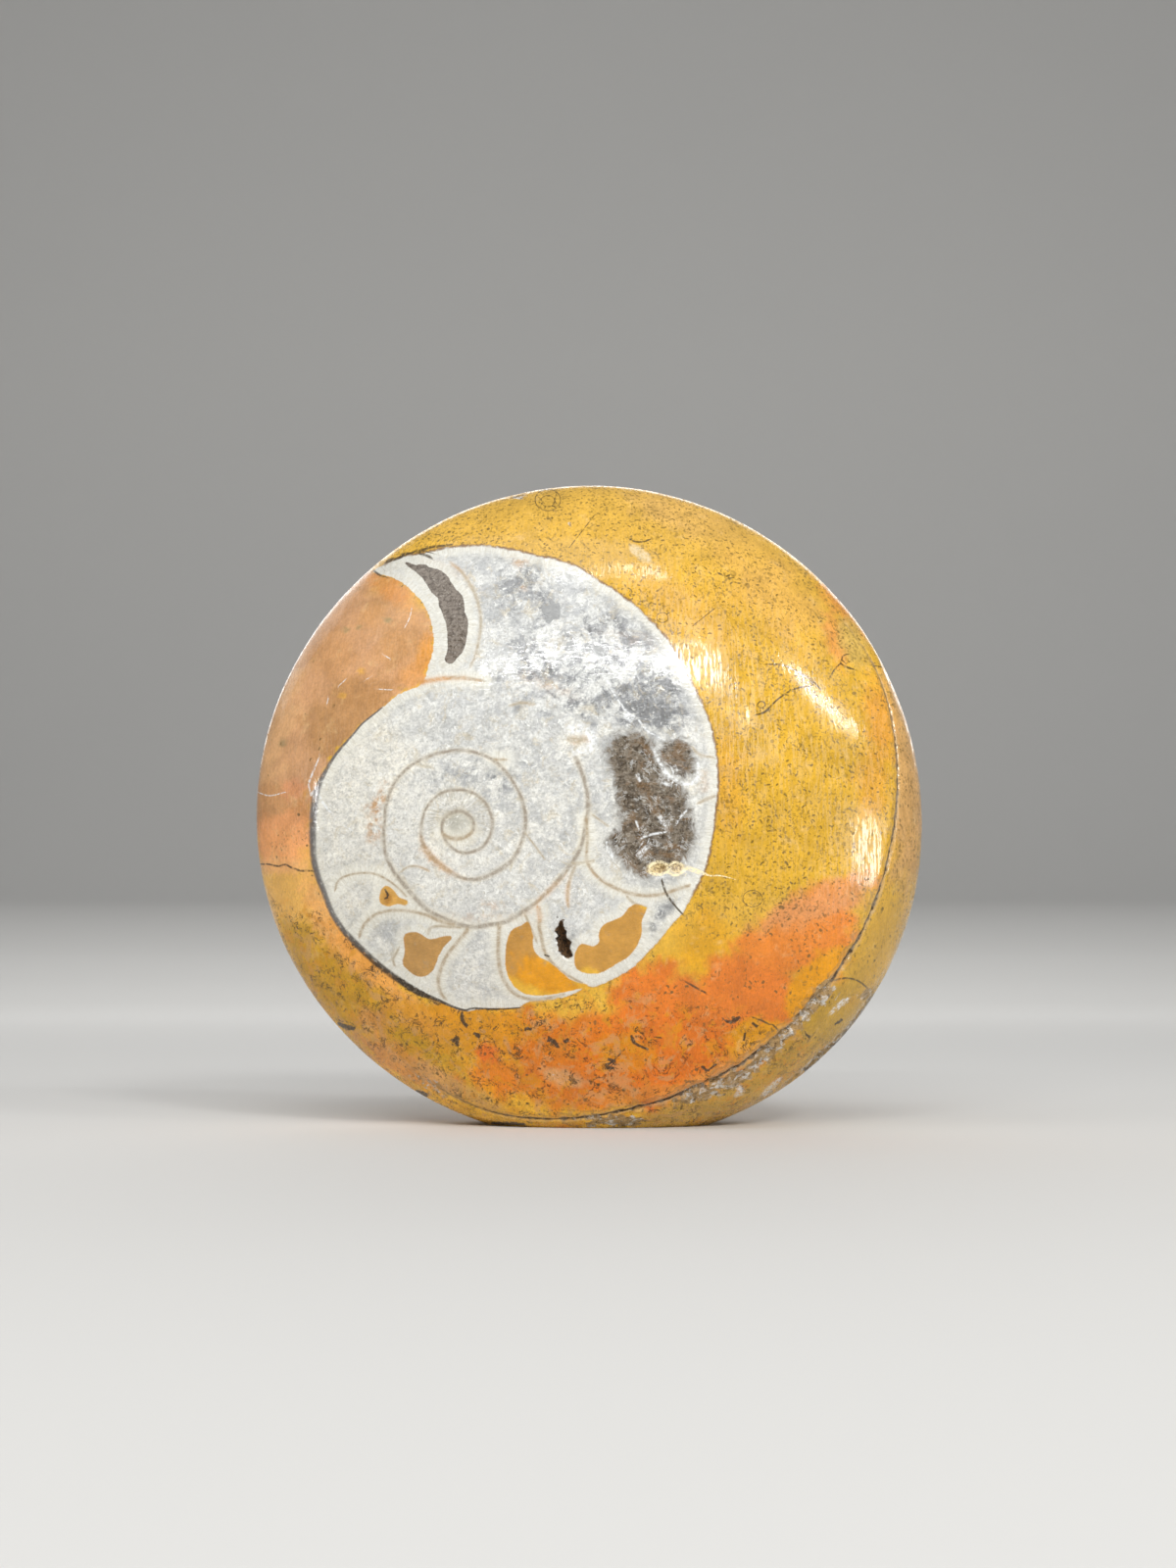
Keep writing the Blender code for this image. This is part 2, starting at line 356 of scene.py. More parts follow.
DARK_SPAR = (
    ((623, 762), (630, 753), (645, 750), (657, 752), (665, 762), (670, 777), (675, 792), (688, 800),
     (699, 812), (702, 829), (706, 840), (704, 862), (694, 878), (668, 890), (654, 893), (640, 883),
     (630, 871), (622, 859), (628, 851), (634, 845), (632, 821), (630, 798), (622, 778)),
    ((673, 768), (682, 760), (694, 757), (702, 765), (706, 777), (706, 788), (697, 792), (687, 786),
     (677, 779)),
)

# Single grey crystals with straight sides, seen through the polish
GREY_CRYSTALS = (
    ((563, 612), (566, 616), (571, 615), (571, 631), (565, 632), (560, 637), (556, 633), (560, 629),
     (553, 625),
     (553, 618), (560, 618)),
    ((576, 664), (578, 656), (583, 655), (590, 661), (583, 664)),
    ((590, 662), (597, 656), (608, 659), (615, 656), (622, 657), (620, 667), (613, 673), (607, 668),
     (598, 665)),
)

# White streaks and glints in the dark patch and above it, and a painted highlight on the shell's left edge,
# with half widths
WHITE_VEINS_AND_GLINT = (
    ((618, 690, 1.8), (624, 703, 1.4), (632, 716, 1.2), (640, 727, 1.6), (650, 733, 1.2), (660, 745, 1.3),
     (672, 752, 0.9), (680, 756, 0.5)),
    ((638, 730, 3.5), (645, 735, 3.0)),
    ((667, 765, 1.6), (673, 778, 2.0), (679, 788, 2.6), (688, 795, 2.2), (698, 800, 2.4), (707, 799, 2.4),
     (713, 790, 2.4), (712, 778, 1.5)),
    ((676, 797, 2.6), (683, 802, 2.0)),
    ((673, 833, 2.6), (679, 842, 2.4)),
    ((651, 874, 3.4), (656, 868, 3.0), (664, 861, 1.8)),
    ((650, 860, 1.0), (657, 854, 1.4), (667, 851, 1.4), (682, 849, 1.2)),
    ((689, 842, 1.2), (695, 833, 1.5), (701, 827, 1.3)),
    ((619, 859, 1.2), (621, 866, 2.6), (626, 876, 1.2)),
    ((688, 781, 2.0), (691, 786, 1.6)),
    ((649, 838, 1.2), (652, 846, 1.0)),
    ((650, 790, 2.4), (653, 797, 1.6)),
    ((741, 1110, 2.2), (748, 1106, 3.0), (757, 1113, 3.6), (750, 1119, 2.4)),
    ((777, 1119, 2.0), (784, 1113, 3.4), (791, 1106, 3.2), (797, 1100, 1.6)),
    ((880, 1019, 2.0), (885, 1014, 3.0), (890, 1011, 2.0)),
    ((846, 1036, 1.4), (853, 1029, 2.6), (862, 1022, 3.2), (867, 1019, 1.6)),
    ((838, 1016, 1.4), (846, 1008, 2.0)), ((812, 1044, 1.6), (822, 1034, 2.6), (828, 1028, 1.6)),
    ((799, 1062, 1.4), (806, 1055, 2.2)), ((820, 1092, 1.2), (827, 1085, 2.2), (831, 1080, 1.2)),
    ((384, 703, 0.5), (400, 704, 0.6)), ((413, 640, 0.5), (418, 630, 0.6), (420, 621, 0.5)),
    ((391, 668, 0.6), (398, 672, 0.6)),
    ((333, 720, 0.5), (335, 712, 0.6)), ((262, 808, 0.5), (275, 812, 0.7), (292, 808, 0.6)),
    ((372, 694, 0.5), (379, 690, 0.6)),
    # Painted highlight: the first line here is the glint on the shell's left edge, painted white
    ((326, 772, 0.8), (320, 786, 1.1), (315, 799, 1.2), (317, 812, 0.8)), ((345, 700, 0.4), (352, 694, 0.6)),
    ((577, 747, 5.0), (590, 743, 7.0), (603, 750, 7.0), (602, 764, 5.0), (584, 767, 4.0)),
    ((322, 806, 1.2), (327, 815, 1.6), (333, 824, 1.3), (341, 833, 1.0)),
    ((352, 843, 1.0), (362, 849, 0.8)),
)

# Pale golden rims of the chip and the hair crack that leaves it, painted near white as a highlight
CHIP_RIMS_AND_GLINT = (
    ((662, 885, 1.6), (667, 880.5, 1.8), (675, 879.5, 1.5), (681, 883, 1.2), (680, 889, 1.4),
     (673, 892.5, 1.6),
     (665, 891, 1.8), (662, 886, 1.6)),
    ((682, 883, 1.4), (688, 880, 1.5), (694, 881, 1.4), (699, 886, 1.5), (694, 891.5, 1.5), (687, 893, 1.5),
     (681, 889, 1.4)),
    ((699, 884, 2.0), (710, 887.5, 1.6), (718, 890.5, 1.2), (724, 893.5, 0.9), (735, 893.5, 0.7),
     (750, 897, 0.4)),
    ((701, 887, 1.0), (712, 891, 0.8), (722, 893, 0.6)),
)

# Thin lines: points across and down with the half width of the line there
SPIRAL = (
    (476, 853.5, 0.8), (482, 849, 1.1), (483, 839, 1.3), (477, 831, 1.3), (468, 827.5, 1.3), (458, 831, 1.3),
    (452, 838, 1.3), (451, 848, 1.2), (456, 859.5, 1.1), (467, 869, 1.1), (478.5, 870, 1.2),
    (490.5, 865.5, 1.3),
    (499, 855, 1.3), (502.5, 840.5, 1.3), (500, 828.5, 1.3), (493, 817, 1.2), (481, 808.5, 1.2),
    (467, 806, 1.2),
    (452, 808.5, 1.1), (440.5, 817, 1.0), (433, 829, 1.0), (430, 843, 1.2), (430, 857, 1.4), (436, 869, 2.0),
    (445, 879, 1.8), (457, 888, 1.5), (469, 895, 1.4), (483, 897.5, 1.4), (497.5, 894, 1.5), (512, 886, 1.7),
    (524, 876, 1.6), (531, 862, 1.5), (535.5, 847.5, 1.5), (536, 831, 1.4), (532, 814, 1.3), (526, 802, 1.2),
    (514, 785, 1.3), (502, 775, 1.3), (488, 768.5, 1.3), (469, 765.5, 1.3), (452, 767.5, 1.3),
    (438, 771.5, 1.3),
    (428, 776, 1.2), (417, 783, 1.2), (405, 795, 1.3), (398, 808.5, 1.4), (393.5, 823, 1.3),
    (392.5, 836, 1.2),
    (391.5, 855, 1.2), (394, 874, 1.3), (402.5, 890.5, 1.6), (414, 905, 1.8), (426, 919, 1.8),
    (438, 930, 1.7),
    (452.5, 937, 1.6), (469, 943.5, 1.6), (483, 946, 1.7), (497.5, 944, 1.7), (516.5, 940.5, 1.6),
    (531, 932, 1.6),
    (545, 922.5, 1.6), (562, 907, 1.6), (576, 890.5, 1.7), (588, 874, 1.6), (595, 857, 1.6), (598, 838, 1.7),
    (600, 825, 1.7), (599, 808.5, 1.5), (595, 792, 1.5), (590.5, 780, 1.7), (587, 771.5, 1.4),
)
FIRST_WALLS = (
    ((425, 697, 2.0), (440.5, 694, 1.6), (455, 692, 1.5), (471.5, 691.5, 1.5), (494, 695, 1.0)),
    ((517, 775, 0.7), (504, 775, 1.0)),
    ((451, 850, 1.3), (457, 854.5, 1.6), (467, 856, 1.6), (477, 853, 1.4), (482, 848, 1.2)),
    ((342, 909, 0.7), (344, 900, 0.8), (352.5, 894, 0.8), (367, 891, 0.8), (381, 891.5, 0.8),
     (393, 896.5, 0.8),
     (405, 905, 0.8), (414, 914.5, 0.8)),
    ((366.5, 957, 1.0), (368, 950, 1.1), (374, 940.5, 1.2), (385.5, 932, 1.2), (402.5, 929, 1.2),
     (419, 930, 1.2),
     (435.5, 934, 1.3), (450, 940.5, 1.4), (464, 944, 1.3)),
    ((477.5, 948, 1.6), (471.5, 956, 1.5), (464, 964.5, 1.4), (456, 975, 1.4), (450, 988, 1.4),
     (447, 1000, 1.4),
     (449, 1012, 1.3), (455, 1020, 1.0)),
    ((509.5, 943, 1.5), (508.5, 962, 1.5), (508.5, 976, 1.5), (510.5, 990.5, 1.5), (515.5, 1002.5, 1.4),
     (522.5, 1012, 1.4), (533, 1018, 1.3), (547.5, 1020, 1.2), (562, 1018, 1.1), (576, 1014.5, 1.0)),
    ((549, 925, 1.6), (551, 936, 1.6), (550, 945, 1.5), (552.5, 957, 1.4), (555, 969, 1.4), (560, 978.5, 1.3),
     (570.5, 989.5, 1.2), (582.5, 997.5, 1.1), (596.5, 1004.5, 0.9)),
    ((598, 833, 1.0), (599.5, 855, 1.1), (598.5, 876, 1.2), (604, 888, 1.2), (613, 897.5, 1.3),
     (627.5, 906, 1.4),
     (644, 912, 1.4), (661, 914, 1.4), (677.5, 912, 1.3), (692, 907, 1.3), (704, 903.5, 1.2)),
)
SECOND_WALLS = (
    ((459.5, 574, 0.8), (470, 582.5, 1.0), (478.5, 594.5, 1.1), (485.5, 608.5, 1.1), (490, 625, 1.1),
     (490.5, 639.5, 1.0), (488, 656, 1.0), (484.5, 670.5, 0.9), (480, 679, 0.7)),
    ((437, 953, 0.8), (438, 947.5, 1.0), (447.5, 945, 1.0), (459.5, 946, 1.0), (470, 946.5, 0.8)),
    ((402.5, 986, 0.8), (401, 978.5, 0.9), (405, 971.5, 0.9), (407, 966, 0.7)),
    ((584, 881, 0.8), (606, 878.5, 0.8)),
    ((588, 882, 1.0), (585, 888, 1.2), (580, 902.5, 1.2), (579, 916.5, 1.1), (580, 926, 0.9)),
    ((639.5, 914.5, 0.8), (647, 921.5, 1.1), (660, 926, 0.8)),
    ((604, 831, 0.6), (620.5, 843, 0.7)),
    ((408, 890.5, 0.6), (416.5, 884.5, 0.8), (427.5, 884.5, 0.8), (438, 889, 0.6)),
    ((536, 850, 0.5), (548, 866, 0.7), (556, 877, 0.5)),
    ((706, 762, 0.7), (714, 770, 0.9), (729, 773, 0.7)),
    ((712, 820, 0.9), (722, 815, 1.2), (730, 812, 1.2)),
    ((536, 934, 1.0), (541, 945, 0.9), (548, 962, 0.8)),
    ((520, 720, 0.8), (532, 717, 1.1), (545, 719, 0.9)),
    ((579, 754, 1.4), (589, 755, 2.2), (598, 754, 1.2)),
)
MARGIN = (
    (390, 722, 0.8), (380, 730, 1.0), (369, 739, 1.0), (359, 751, 1.1), (350, 761, 1.4), (341, 772, 1.6),
    (332, 787, 2.2), (326, 799, 3.0), (322, 812, 3.8), (320, 826, 4.1), (319, 843, 4.1), (319, 860, 3.9),
    (320, 876, 3.8), (324, 893, 3.5), (330, 909, 3.2), (337, 928, 3.2), (346, 944, 3.2), (358, 958, 3.4),
    (370, 970, 3.5), (382, 981, 3.5), (394, 991, 3.5), (408, 1001, 3.5), (422, 1010, 3.5), (433, 1015.5, 2.8),
    (445, 1020, 2.0), (459, 1026, 1.4), (474, 1031, 1.2), (483, 1029, 1.1), (507, 1030, 1.0),
    (531, 1028.5, 0.6),
)
CRACKS = (
    ((262, 882, 0.8), (274, 882, 0.9), (283.5, 884, 1.1), (290.5, 882, 1.0), (297.5, 885.5, 1.1),
     (307, 888.5, 1.2),
     (319, 888.5, 1.0)),
    ((780, 678, 0.5), (797, 678, 1.2), (807, 682, 1.3), (816, 687, 1.4), (826, 692, 1.4), (838, 704, 1.0)),
    ((770, 729.5, 0.8), (780.5, 726.5, 1.3), (792.5, 714.5, 1.0), (804.5, 706, 1.0), (816, 701.5, 1.1),
     (828, 700, 1.0)),
    ((846, 692.5, 0.6), (852, 682.5, 0.8), (858, 676.5, 0.9), (860, 669.5, 0.7), (866, 667, 0.6)),
    ((858, 677, 0.8), (864, 680.5, 1.1), (873.5, 683.5, 0.7)),
    ((889, 678, 0.7), (900, 680.5, 0.8)),
    ((697, 1000, 0.8), (708.5, 1007, 1.2), (721.5, 1014, 1.0)),
    ((637, 1071, 0.7), (627.5, 1081, 0.9), (618, 1089, 1.0)),
    ((767.5, 1038, 0.8), (777.5, 1041.5, 1.0), (785, 1045.5, 0.9)),
    ((788, 1045, 0.7), (795, 1052, 1.0)),
    ((675, 897.5, 1.2), (680, 912, 1.3), (689.5, 925, 1.1), (698, 934.5, 1.0)),
    ((581, 558.5, 0.5), (607, 525, 0.5)),
    ((707, 638.5, 0.4), (729.5, 620.5, 0.5)),
    ((846, 1003, 0.7), (854, 1000, 1.0), (864, 998, 1.0), (876, 1001, 0.9), (886, 1009, 0.9)),
    ((393, 574, 1.2), (399, 571, 2.2), (406, 570, 1.2), (412, 566, 2.4), (418, 564.5, 1.0), (425, 563, 2.3),
     (431, 561, 1.4), (441, 558, 1.6), (450, 557, 1.2), (462, 555.5, 0.9)),
    ((426, 565, 0.8), (436, 567, 1.6), (441, 570, 1.2)),
    ((381, 582, 1.0), (388, 587, 1.2), (396, 589, 0.6)),
    ((640, 548, 0.7), (646, 552, 0.8), (655, 553, 0.8), (664, 550, 0.6)),
    ((733, 584, 0.6), (741, 588, 0.9), (748, 584, 0.6)),
)

# Dark spots and ragged dark edges, with half widths
BLOTS = (
    ((345, 1044, 1.5), (352, 1048, 2.5), (362, 1050, 2.0)), ((471, 1033, 1.5), (472, 1042, 2.2),
     (477, 1048, 1.5)),
    ((483, 1054, 1.5), (489, 1057, 2.4)), ((462, 1062, 2.5), (467, 1060, 2.0), (466, 1067, 2.0)),
    ((536, 1050, 2.0), (542, 1050, 1.5)), ((559, 1061, 2.8), (566, 1063, 2.4), (569, 1069, 2.2)),
    ((576, 1063, 1.8), (580, 1061, 1.6)), ((425, 1114, 2.0), (436, 1118, 2.0)),
    ((738, 1040, 0.8), (744, 1043, 1.6), (750, 1041, 2.2), (755, 1038, 1.0)), ((768, 1044, 1.2),
     (773, 1048, 1.8)),
    ((760, 1055, 1.0), (759, 1062, 1.5)), ((644, 1056, 1.0), (646, 1063, 1.8), (652, 1067, 1.2),
     (661, 1071, 1.4)),
    ((620, 1081, 1.6), (628, 1083, 1.4)), ((618, 1090, 1.6), (626, 1090, 1.4)), ((716, 1088, 1.4),
     (722, 1093, 1.6)),
    ((722, 1093, 1.0), (730, 1086, 1.0)), ((837, 1007, 1.4), (831, 1017, 2.8), (823, 1028, 1.6),
     (812, 1042, 1.4)),
    ((803, 1050, 1.0), (797, 1056, 1.8)), ((790, 1070, 1.0), (778, 1080, 2.4), (770, 1086, 1.6),
     (760, 1092, 1.2)),
    ((760, 1092, 1.0), (752, 1098, 2.2)), ((700, 1124, 2.4), (710, 1119, 2.0)), ((853, 1045, 0.9),
     (860, 1040, 1.6)),
    ((822, 1055, 0.8), (828, 1060, 1.5)), ((405, 998, 1.6), (416, 1006, 2.6), (431, 1015, 2.6),
     (438, 1017, 1.2)),
    ((502, 1146.5, 1.4), (524, 1147, 1.8), (535, 1147.5, 1.2)), ((393, 908, 0.8), (396, 914, 1.1),
     (393, 917, 0.8)),
    ((897, 1010, 1.2), (890, 1021, 2.6), (880, 1037, 3.2), (868, 1052, 3.4), (855, 1065, 3.4),
     (842, 1076, 2.8),
     (832, 1086, 2.0), (822, 1094, 1.4)),
    ((556, 974.5, 0.8), (560, 976, 1.2)),
)

# Small round fossils cut across: middle, radius, half width of the ring
RINGLETS = (
    (559, 510, 13, 0.45), (559, 511, 7, 0.35), (768, 917, 10, 0.4), (777, 719, 4, 0.7), (676, 630, 6, 0.4),
)

# Stains of the sediment: middle, half sizes, turn in degrees, colour, strength, edge softness
SEDIMENT = "dfae38"
STAINS = (
    (620, 530, 260, 62, 0, "e2b34b", 1.0, 0.6),
    (700, 528, 60, 16, 20, "e3b46c", 0.6, 0.6),
    (770, 575, 90, 22, 42, "dcae50", 0.6, 0.7),
    (795, 615, 60, 30, 40, "e6b25b", 0.6, 0.6),
    (700, 620, 60, 24, 30, "e4b055", 0.6, 0.6),
    (868, 622, 42, 13, 48, "e89a46", 0.8, 0.5),
    (853, 652, 10, 26, -15, "e69850", 0.7, 0.5),
    (870, 655, 13, 26, -20, "d1ae5c", 0.8, 0.4),
    (898, 735, 14, 40, -10, "e89d3b", 0.7, 0.6),
    (890, 800, 16, 34, 0, "e8a543", 0.6, 0.6),
    (742, 800, 20, 50, 0, "dea33b", 0.6, 0.6),
    (727, 970, 38, 34, 0, "e0a20e", 0.8, 0.6),
    (700, 1062, 150, 58, -14, "dc7419", 1.0, 0.22),
    (662, 1012, 40, 26, -20, "df7922", 1.0, 0.3),
    (800, 965, 92, 34, -34, "e5862c", 1.0, 0.25),
    (838, 920, 62, 17, -22, "e49857", 0.9, 0.4),
    (760, 1015, 60, 36, -10, "e27d29", 1.0, 0.3),
    (606, 1075, 60, 40, 0, "d6730d", 0.9, 0.3),
    (834, 1000, 18, 46, 42, "e2980d", 1.0, 0.2),
    (772, 1062, 34, 20, -22, "e39b0d", 1.0, 0.2),
    (640, 1072, 32, 17, 12, "dd860d", 0.9, 0.25),
    (540, 1056, 40, 24, 0, "d1730d", 1.0, 0.3),
    (470, 1048, 74, 24, 6, "cf8c0d", 0.9, 0.3),
    (505, 1096, 26, 18, 10, "d9900d", 0.9, 0.3),
    (497, 1076, 12, 11, 0, "d97122", 1.0, 0.3),
    (344, 1005, 34, 62, -38, "b98c14", 1.0, 0.5),
    (420, 1062, 62, 22, 28, "b98e16", 0.9, 0.5),
    (302, 935, 15, 52, -22, "bb9020", 0.9, 0.5),
    (300, 905, 30, 34, -15, "dfae61", 0.9, 0.35),
    (262, 822, 60, 34, 0, "c9905c", 1.0, 0.2),
    (333, 935, 15, 46, -28, "e2a868", 0.9, 0.3),
    (375, 985, 52, 13, 42, "e4a050", 0.9, 0.3),
    (288, 856, 30, 28, 0, "e29f6a", 1.0, 0.3),
    (283, 884, 32, 8, 0, "dda571", 0.8, 0.5),
    (425, 1040, 50, 11, 34, "d69636", 0.8, 0.4),
    (380, 1040, 18, 12, 20, "c88a48", 0.8, 0.4),
    (412, 1085, 52, 14, 30, "d3904e", 0.9, 0.35),
    (560, 1102, 90, 16, 4, "cc731e", 0.8, 0.3),
    (600, 1122, 60, 9, 0, "c7680d", 0.7, 0.4),
    (458, 1106, 60, 9, 28, "c89d6a", 0.7, 0.4),
    (640, 1118, 70, 8, -6, "ce8538", 0.7, 0.4),
    (728, 1098, 60, 10, -28, "dc9141", 0.8, 0.4),
    (575, 1100, 22, 8, 12, "cfa77c", 0.7, 0.4),
)
CHAMBER_STAINS = (
    (345, 690, 150, 160, 0, "cf9d70", 1.0, 0.2),
    (278, 730, 22, 90, 12, "dcab78", 0.9, 0.4),
    (340, 605, 80, 14, -42, "d6a678", 0.6, 0.5),
    (358, 742, 44, 46, 24, "c0905f", 1.0, 0.12),
    (372, 706, 34, 16, 0, "bd8c5a", 0.8, 0.25),
    (336, 668, 26, 22, 20, "c8935e", 0.6, 0.3),
    (408, 640, 30, 44, -20, "c7945e", 0.7, 0.4),
    (398, 600, 26, 12, 40, "d4914f", 0.8, 0.4),
    (436, 668, 9, 22, 12, "dc9847", 0.9, 0.5),
    (422, 688, 14, 14, 0, "d49450", 0.6, 0.5),
    (368, 685, 3, 3, 0, "dca548", 0.8, 0.5),
    (350, 710, 3, 3, 0, "dca548", 0.8, 0.5),
    (394, 632, 3.5, 3.5, 0, "9a8a5e", 0.8, 0.3),
    (353, 643, 3, 3, 0, "9a8a5e", 0.6, 0.4),
    (366, 640, 3, 3, 0, "9a8a5e", 0.6, 0.4),
    (288, 758, 4, 4, 0, "a08a62", 0.8, 0.4),
    (318, 738, 5, 32, 6, "b98a5c", 0.7, 0.5),
    (277, 822, 34, 22, 0, "cb9664", 0.9, 0.3),
    (300, 806, 12, 12, 0, "dd996a", 0.8, 0.4),
)
FILL_STAINS = (
    (428, 970, 50, 42, 0, "b78b4e", 1.0, 0.1),
    (530, 965, 24, 34, 0, "bd8a3e", 1.0, 0.2),
    (560, 998, 40, 17, 18, "dd9614", 1.0, 0.2),
    (622, 958, 52, 42, 0, "c28f3f", 1.0, 0.1),
    (400, 915, 20, 16, 0, "d19f4e", 1.0, 0.1),
    (395, 916, 5, 5, 0, "9f681e", 0.8, 0.5),
)
WALL_STAINS = (
    (908, 1000, 40, 120, 10, "d4a53a", 1.0, 0.4),
    (925, 780, 34, 120, 0, "e0ae78", 1.0, 0.4),
    (850, 1060, 60, 40, -40, "cda238", 1.0, 0.3),
    (785, 1108, 80, 28, -28, "cca03c", 1.0, 0.2),
    (720, 1130, 70, 14, -14, "c8a24b", 0.9, 0.4),
)

# Whitish broken stone along the seam and elsewhere: middle, half sizes, turn, amount
RUBBLE = (
    (842, 1012, 14, 7, -55, 1.0), (822, 1036, 20, 6, -48, 1.0), (800, 1060, 22, 6, -46, 1.0),
    (778, 1081, 18, 6, -42, 0.9),
    (750, 1101, 24, 8, -28, 0.9), (712, 1117, 26, 6, -20, 0.9), (862, 1024, 12, 5, -40, 0.4),
    (884, 1015, 8, 4, -35, 0.8),
    (625, 1145, 34, 5, 0, 0.9), (440, 1108, 30, 7, 30, 0.5), (572, 1100, 16, 6, 10, 0.35),
    (581, 534, 4, 3, 0, 0.8),
    (530, 505, 10, 3, -15, 0.7), (555, 541, 8, 3, 0, 0.4), (870, 1052, 40, 4, -50, 0.55),
    (836, 1082, 14, 5, -42, 0.8),
)

# A pale worm-shaped fossil
PALE_FOSSIL = (653, 565, 15, 5, 38)

# The smooth first chamber, the best polished spot, and the two pits of the chip
CENTRE_DISC = (467, 842.5, 16.5, 15.5, 0)
BEST_POLISH = (842, 716, 52, 26, 46)
CHIP_PITS = ((672, 886, 10, 6.5, 0), (690, 886.5, 8, 6, 0))

# Grey, brown and cream clouds of the calcite: middle, half sizes, turn, amount
GREY_CLOUDS = (
    (625, 700, 75, 42, 10, 1.0), (600, 662, 60, 24, 0, 0.6), (520, 620, 34, 50, 0, 0.6),
    (576, 606, 80, 34, 20, 0.45),
    (650, 652, 50, 30, 30, 0.5), (680, 905, 26, 16, 0, 0.8), (540, 745, 60, 40, 0, 0.25),
    (668, 955, 22, 34, 20, 0.9),
    (560, 625, 8, 10, 0, 1.5), (530, 705, 60, 20, 15, 0.4), (470, 790, 44, 16, 0, 0.7),
    (512, 815, 18, 34, 0, 0.5),
    (565, 840, 26, 60, 0, 0.45), (467, 843, 15, 15, 0, 0.55), (600, 905, 18, 30, 0, 0.4),
    (487, 985, 22, 34, 0, 0.45),
    (655, 725, 40, 30, 0, 0.7), (672, 935, 12, 18, 30, 0.6), (450, 725, 30, 30, 0, 0.3),
    (612, 820, 14, 24, 0, 0.5),
    (392, 950, 14, 10, 0, 0.5), (690, 700, 16, 26, -20, 0.4), (540, 580, 30, 12, 12, 0.45),
    (585, 965, 6, 12, 0, 0.9),
)
BROWN_STAINS = (
    (391, 812, 6, 12, 20, 1.0), (382, 846, 6, 13, 0, 1.0), (381, 824, 8, 5, 0, 0.7),
    (442, 878, 17, 4, 42, 0.8),
    (529, 573, 8, 5, 20, 1.0), (533, 600, 4, 3, 0, 0.8), (592, 755, 9, 4, 0, 1.0), (500, 923, 12, 4, 0, 0.5),
    (495, 938, 40, 5, 0, 0.4), (540, 950, 7, 18, 0, 0.5), (552, 975, 5, 6, 0, 0.7),
    (640, 650, 30, 6, 10, 0.15),
    (455, 582, 30, 6, 30, 0.3), (720, 800, 6, 10, 0, 0.5), (560, 700, 26, 6, 20, 0.3),
)
CREAM = (
    (352, 840, 34, 110, 0, 0.9), (455, 850, 110, 115, 0, 0.45), (520, 990, 120, 40, 0, 0.5),
    (385, 760, 40, 40, 0, 0.7), (450, 860, 20, 24, 0, 0.6), (590, 754, 22, 20, 0, 0.8),
    (360, 920, 30, 40, -30, 0.8), (690, 820, 40, 100, 0, 0.4),
)

# Where the walls between chambers are stained warm brown
WARM_WALLS = ((430, 700, 40, 16, 0), (445, 878, 26, 14, 42), (570, 918, 30, 14, -35), (470, 565, 30, 20, 20))

FAR = 40.0  # pixels; distances beyond this are not told apart


def rounded(points, closed):
    """Points through all the given ones, each stretch a third-degree curve with the neighbours' slope."""
    given = np.array(points, dtype=float)
    if closed:
        before, here, after, beyond = (np.roll(given, turn, axis=0) for turn in (1, 0, -1, -2))
    else:
        long = np.concatenate([[2 * given[0] - given[1]], given, [2 * given[-1] - given[-2]]])
        before, here, after, beyond = long[:-3], long[1:-2], long[2:-1], long[3:]
    t = (np.arange(4) / 4)[None, :, None]
    before, here, after, beyond = (part[:, None] for part in (before, here, after, beyond))
    curve = 2 * here + (after - before) * t + (2 * before - 5 * here + 4 * after - beyond) * t**2
    curve = 0.5 * (curve + (3 * here - before - 3 * after + beyond) * t**3)
    last = curve[:1, 0] if closed else given[-1:]
    return np.concatenate([curve.reshape(-1, given.shape[1]), last])


def nearest(place, curve, reach):
    """Near the curve: which places, signed distance, run along it, half width there, overshoot at its ends."""
    low, high = curve[:, :2].min(axis=0) - reach, curve[:, :2].max(axis=0) + reach
    near = np.flatnonzero(((place > low) & (place < high)).all(axis=1))
    spot = place[near]
    best = np.full(len(near), FAR**2)
    side, along, width, over = (np.zeros(len(near)) for _ in range(4))
    run_so_far = 0.0
    for number, (start, end) in enumerate(zip(curve[:-1], curve[1:])):
        step = end[:2] - start[:2]
        length = max(float(np.hypot(*step)), 1e-6)
        away = spot - start[:2]
        raw = (away @ step) / length**2
        share = np.clip(raw, 0.0, 1.0)
        gap = ((away - share[:, None] * step) ** 2).sum(axis=1)
        closer = gap < best
        best[closer] = gap[closer]
        side[closer] = np.sign(step[0] * away[closer, 1] - step[1] * away[closer, 0])
        along[closer] = run_so_far + share[closer] * length
        if curve.shape[1] > 2:
            width[closer] = start[2] + (end[2] - start[2]) * share[closer]
        past = np.zeros(int(closer.sum()))
        if number == 0:
            past = np.maximum(past, -raw[closer] * length)
        if number == len(curve) - 2:
            past = np.maximum(past, (raw[closer] - 1) * length)
        over[closer] = past
        run_so_far += length
    return near, np.sqrt(best) * np.where(side < 0, -1.0, 1.0), along, width, over


def inside(place, curve):
    """Whether each place lies inside the closed curve: an odd number of its edges lie to the right."""
    found = np.zeros(len(place), dtype=bool)
    for start, end in zip(curve[:-1], curve[1:]):
        crosses = (start[1] > place[:, 1]) != (end[1] > place[:, 1])
        height = end[1] - start[1]
        if abs(height) > 1e-9:
            edge = start[0] + (place[:, 1] - start[1]) / height * (end[0] - start[0])
            found ^= crosses & (place[:, 0] < edge)
    return found


def area_distance(place, *loops):
    """Pixels to the nearest of the closed curves, negative inside any of them; and the run along it."""
    distance = np.full(len(place), FAR)
    along = np.zeros(len(place))
    for loop in loops:
        curve = rounded(loop, True)
        near, gap, run_along, _, _ = nearest(place, curve, FAR)
        signed = np.full(len(place), FAR)
        signed[near] = np.abs(gap)
        signed[inside(place, curve)] *= -1
        closer = signed < distance
        here = np.zeros(len(place))
        here[near] = run_along
        distance[closer] = signed[closer]
        along[closer] = here[closer]
    return distance, along


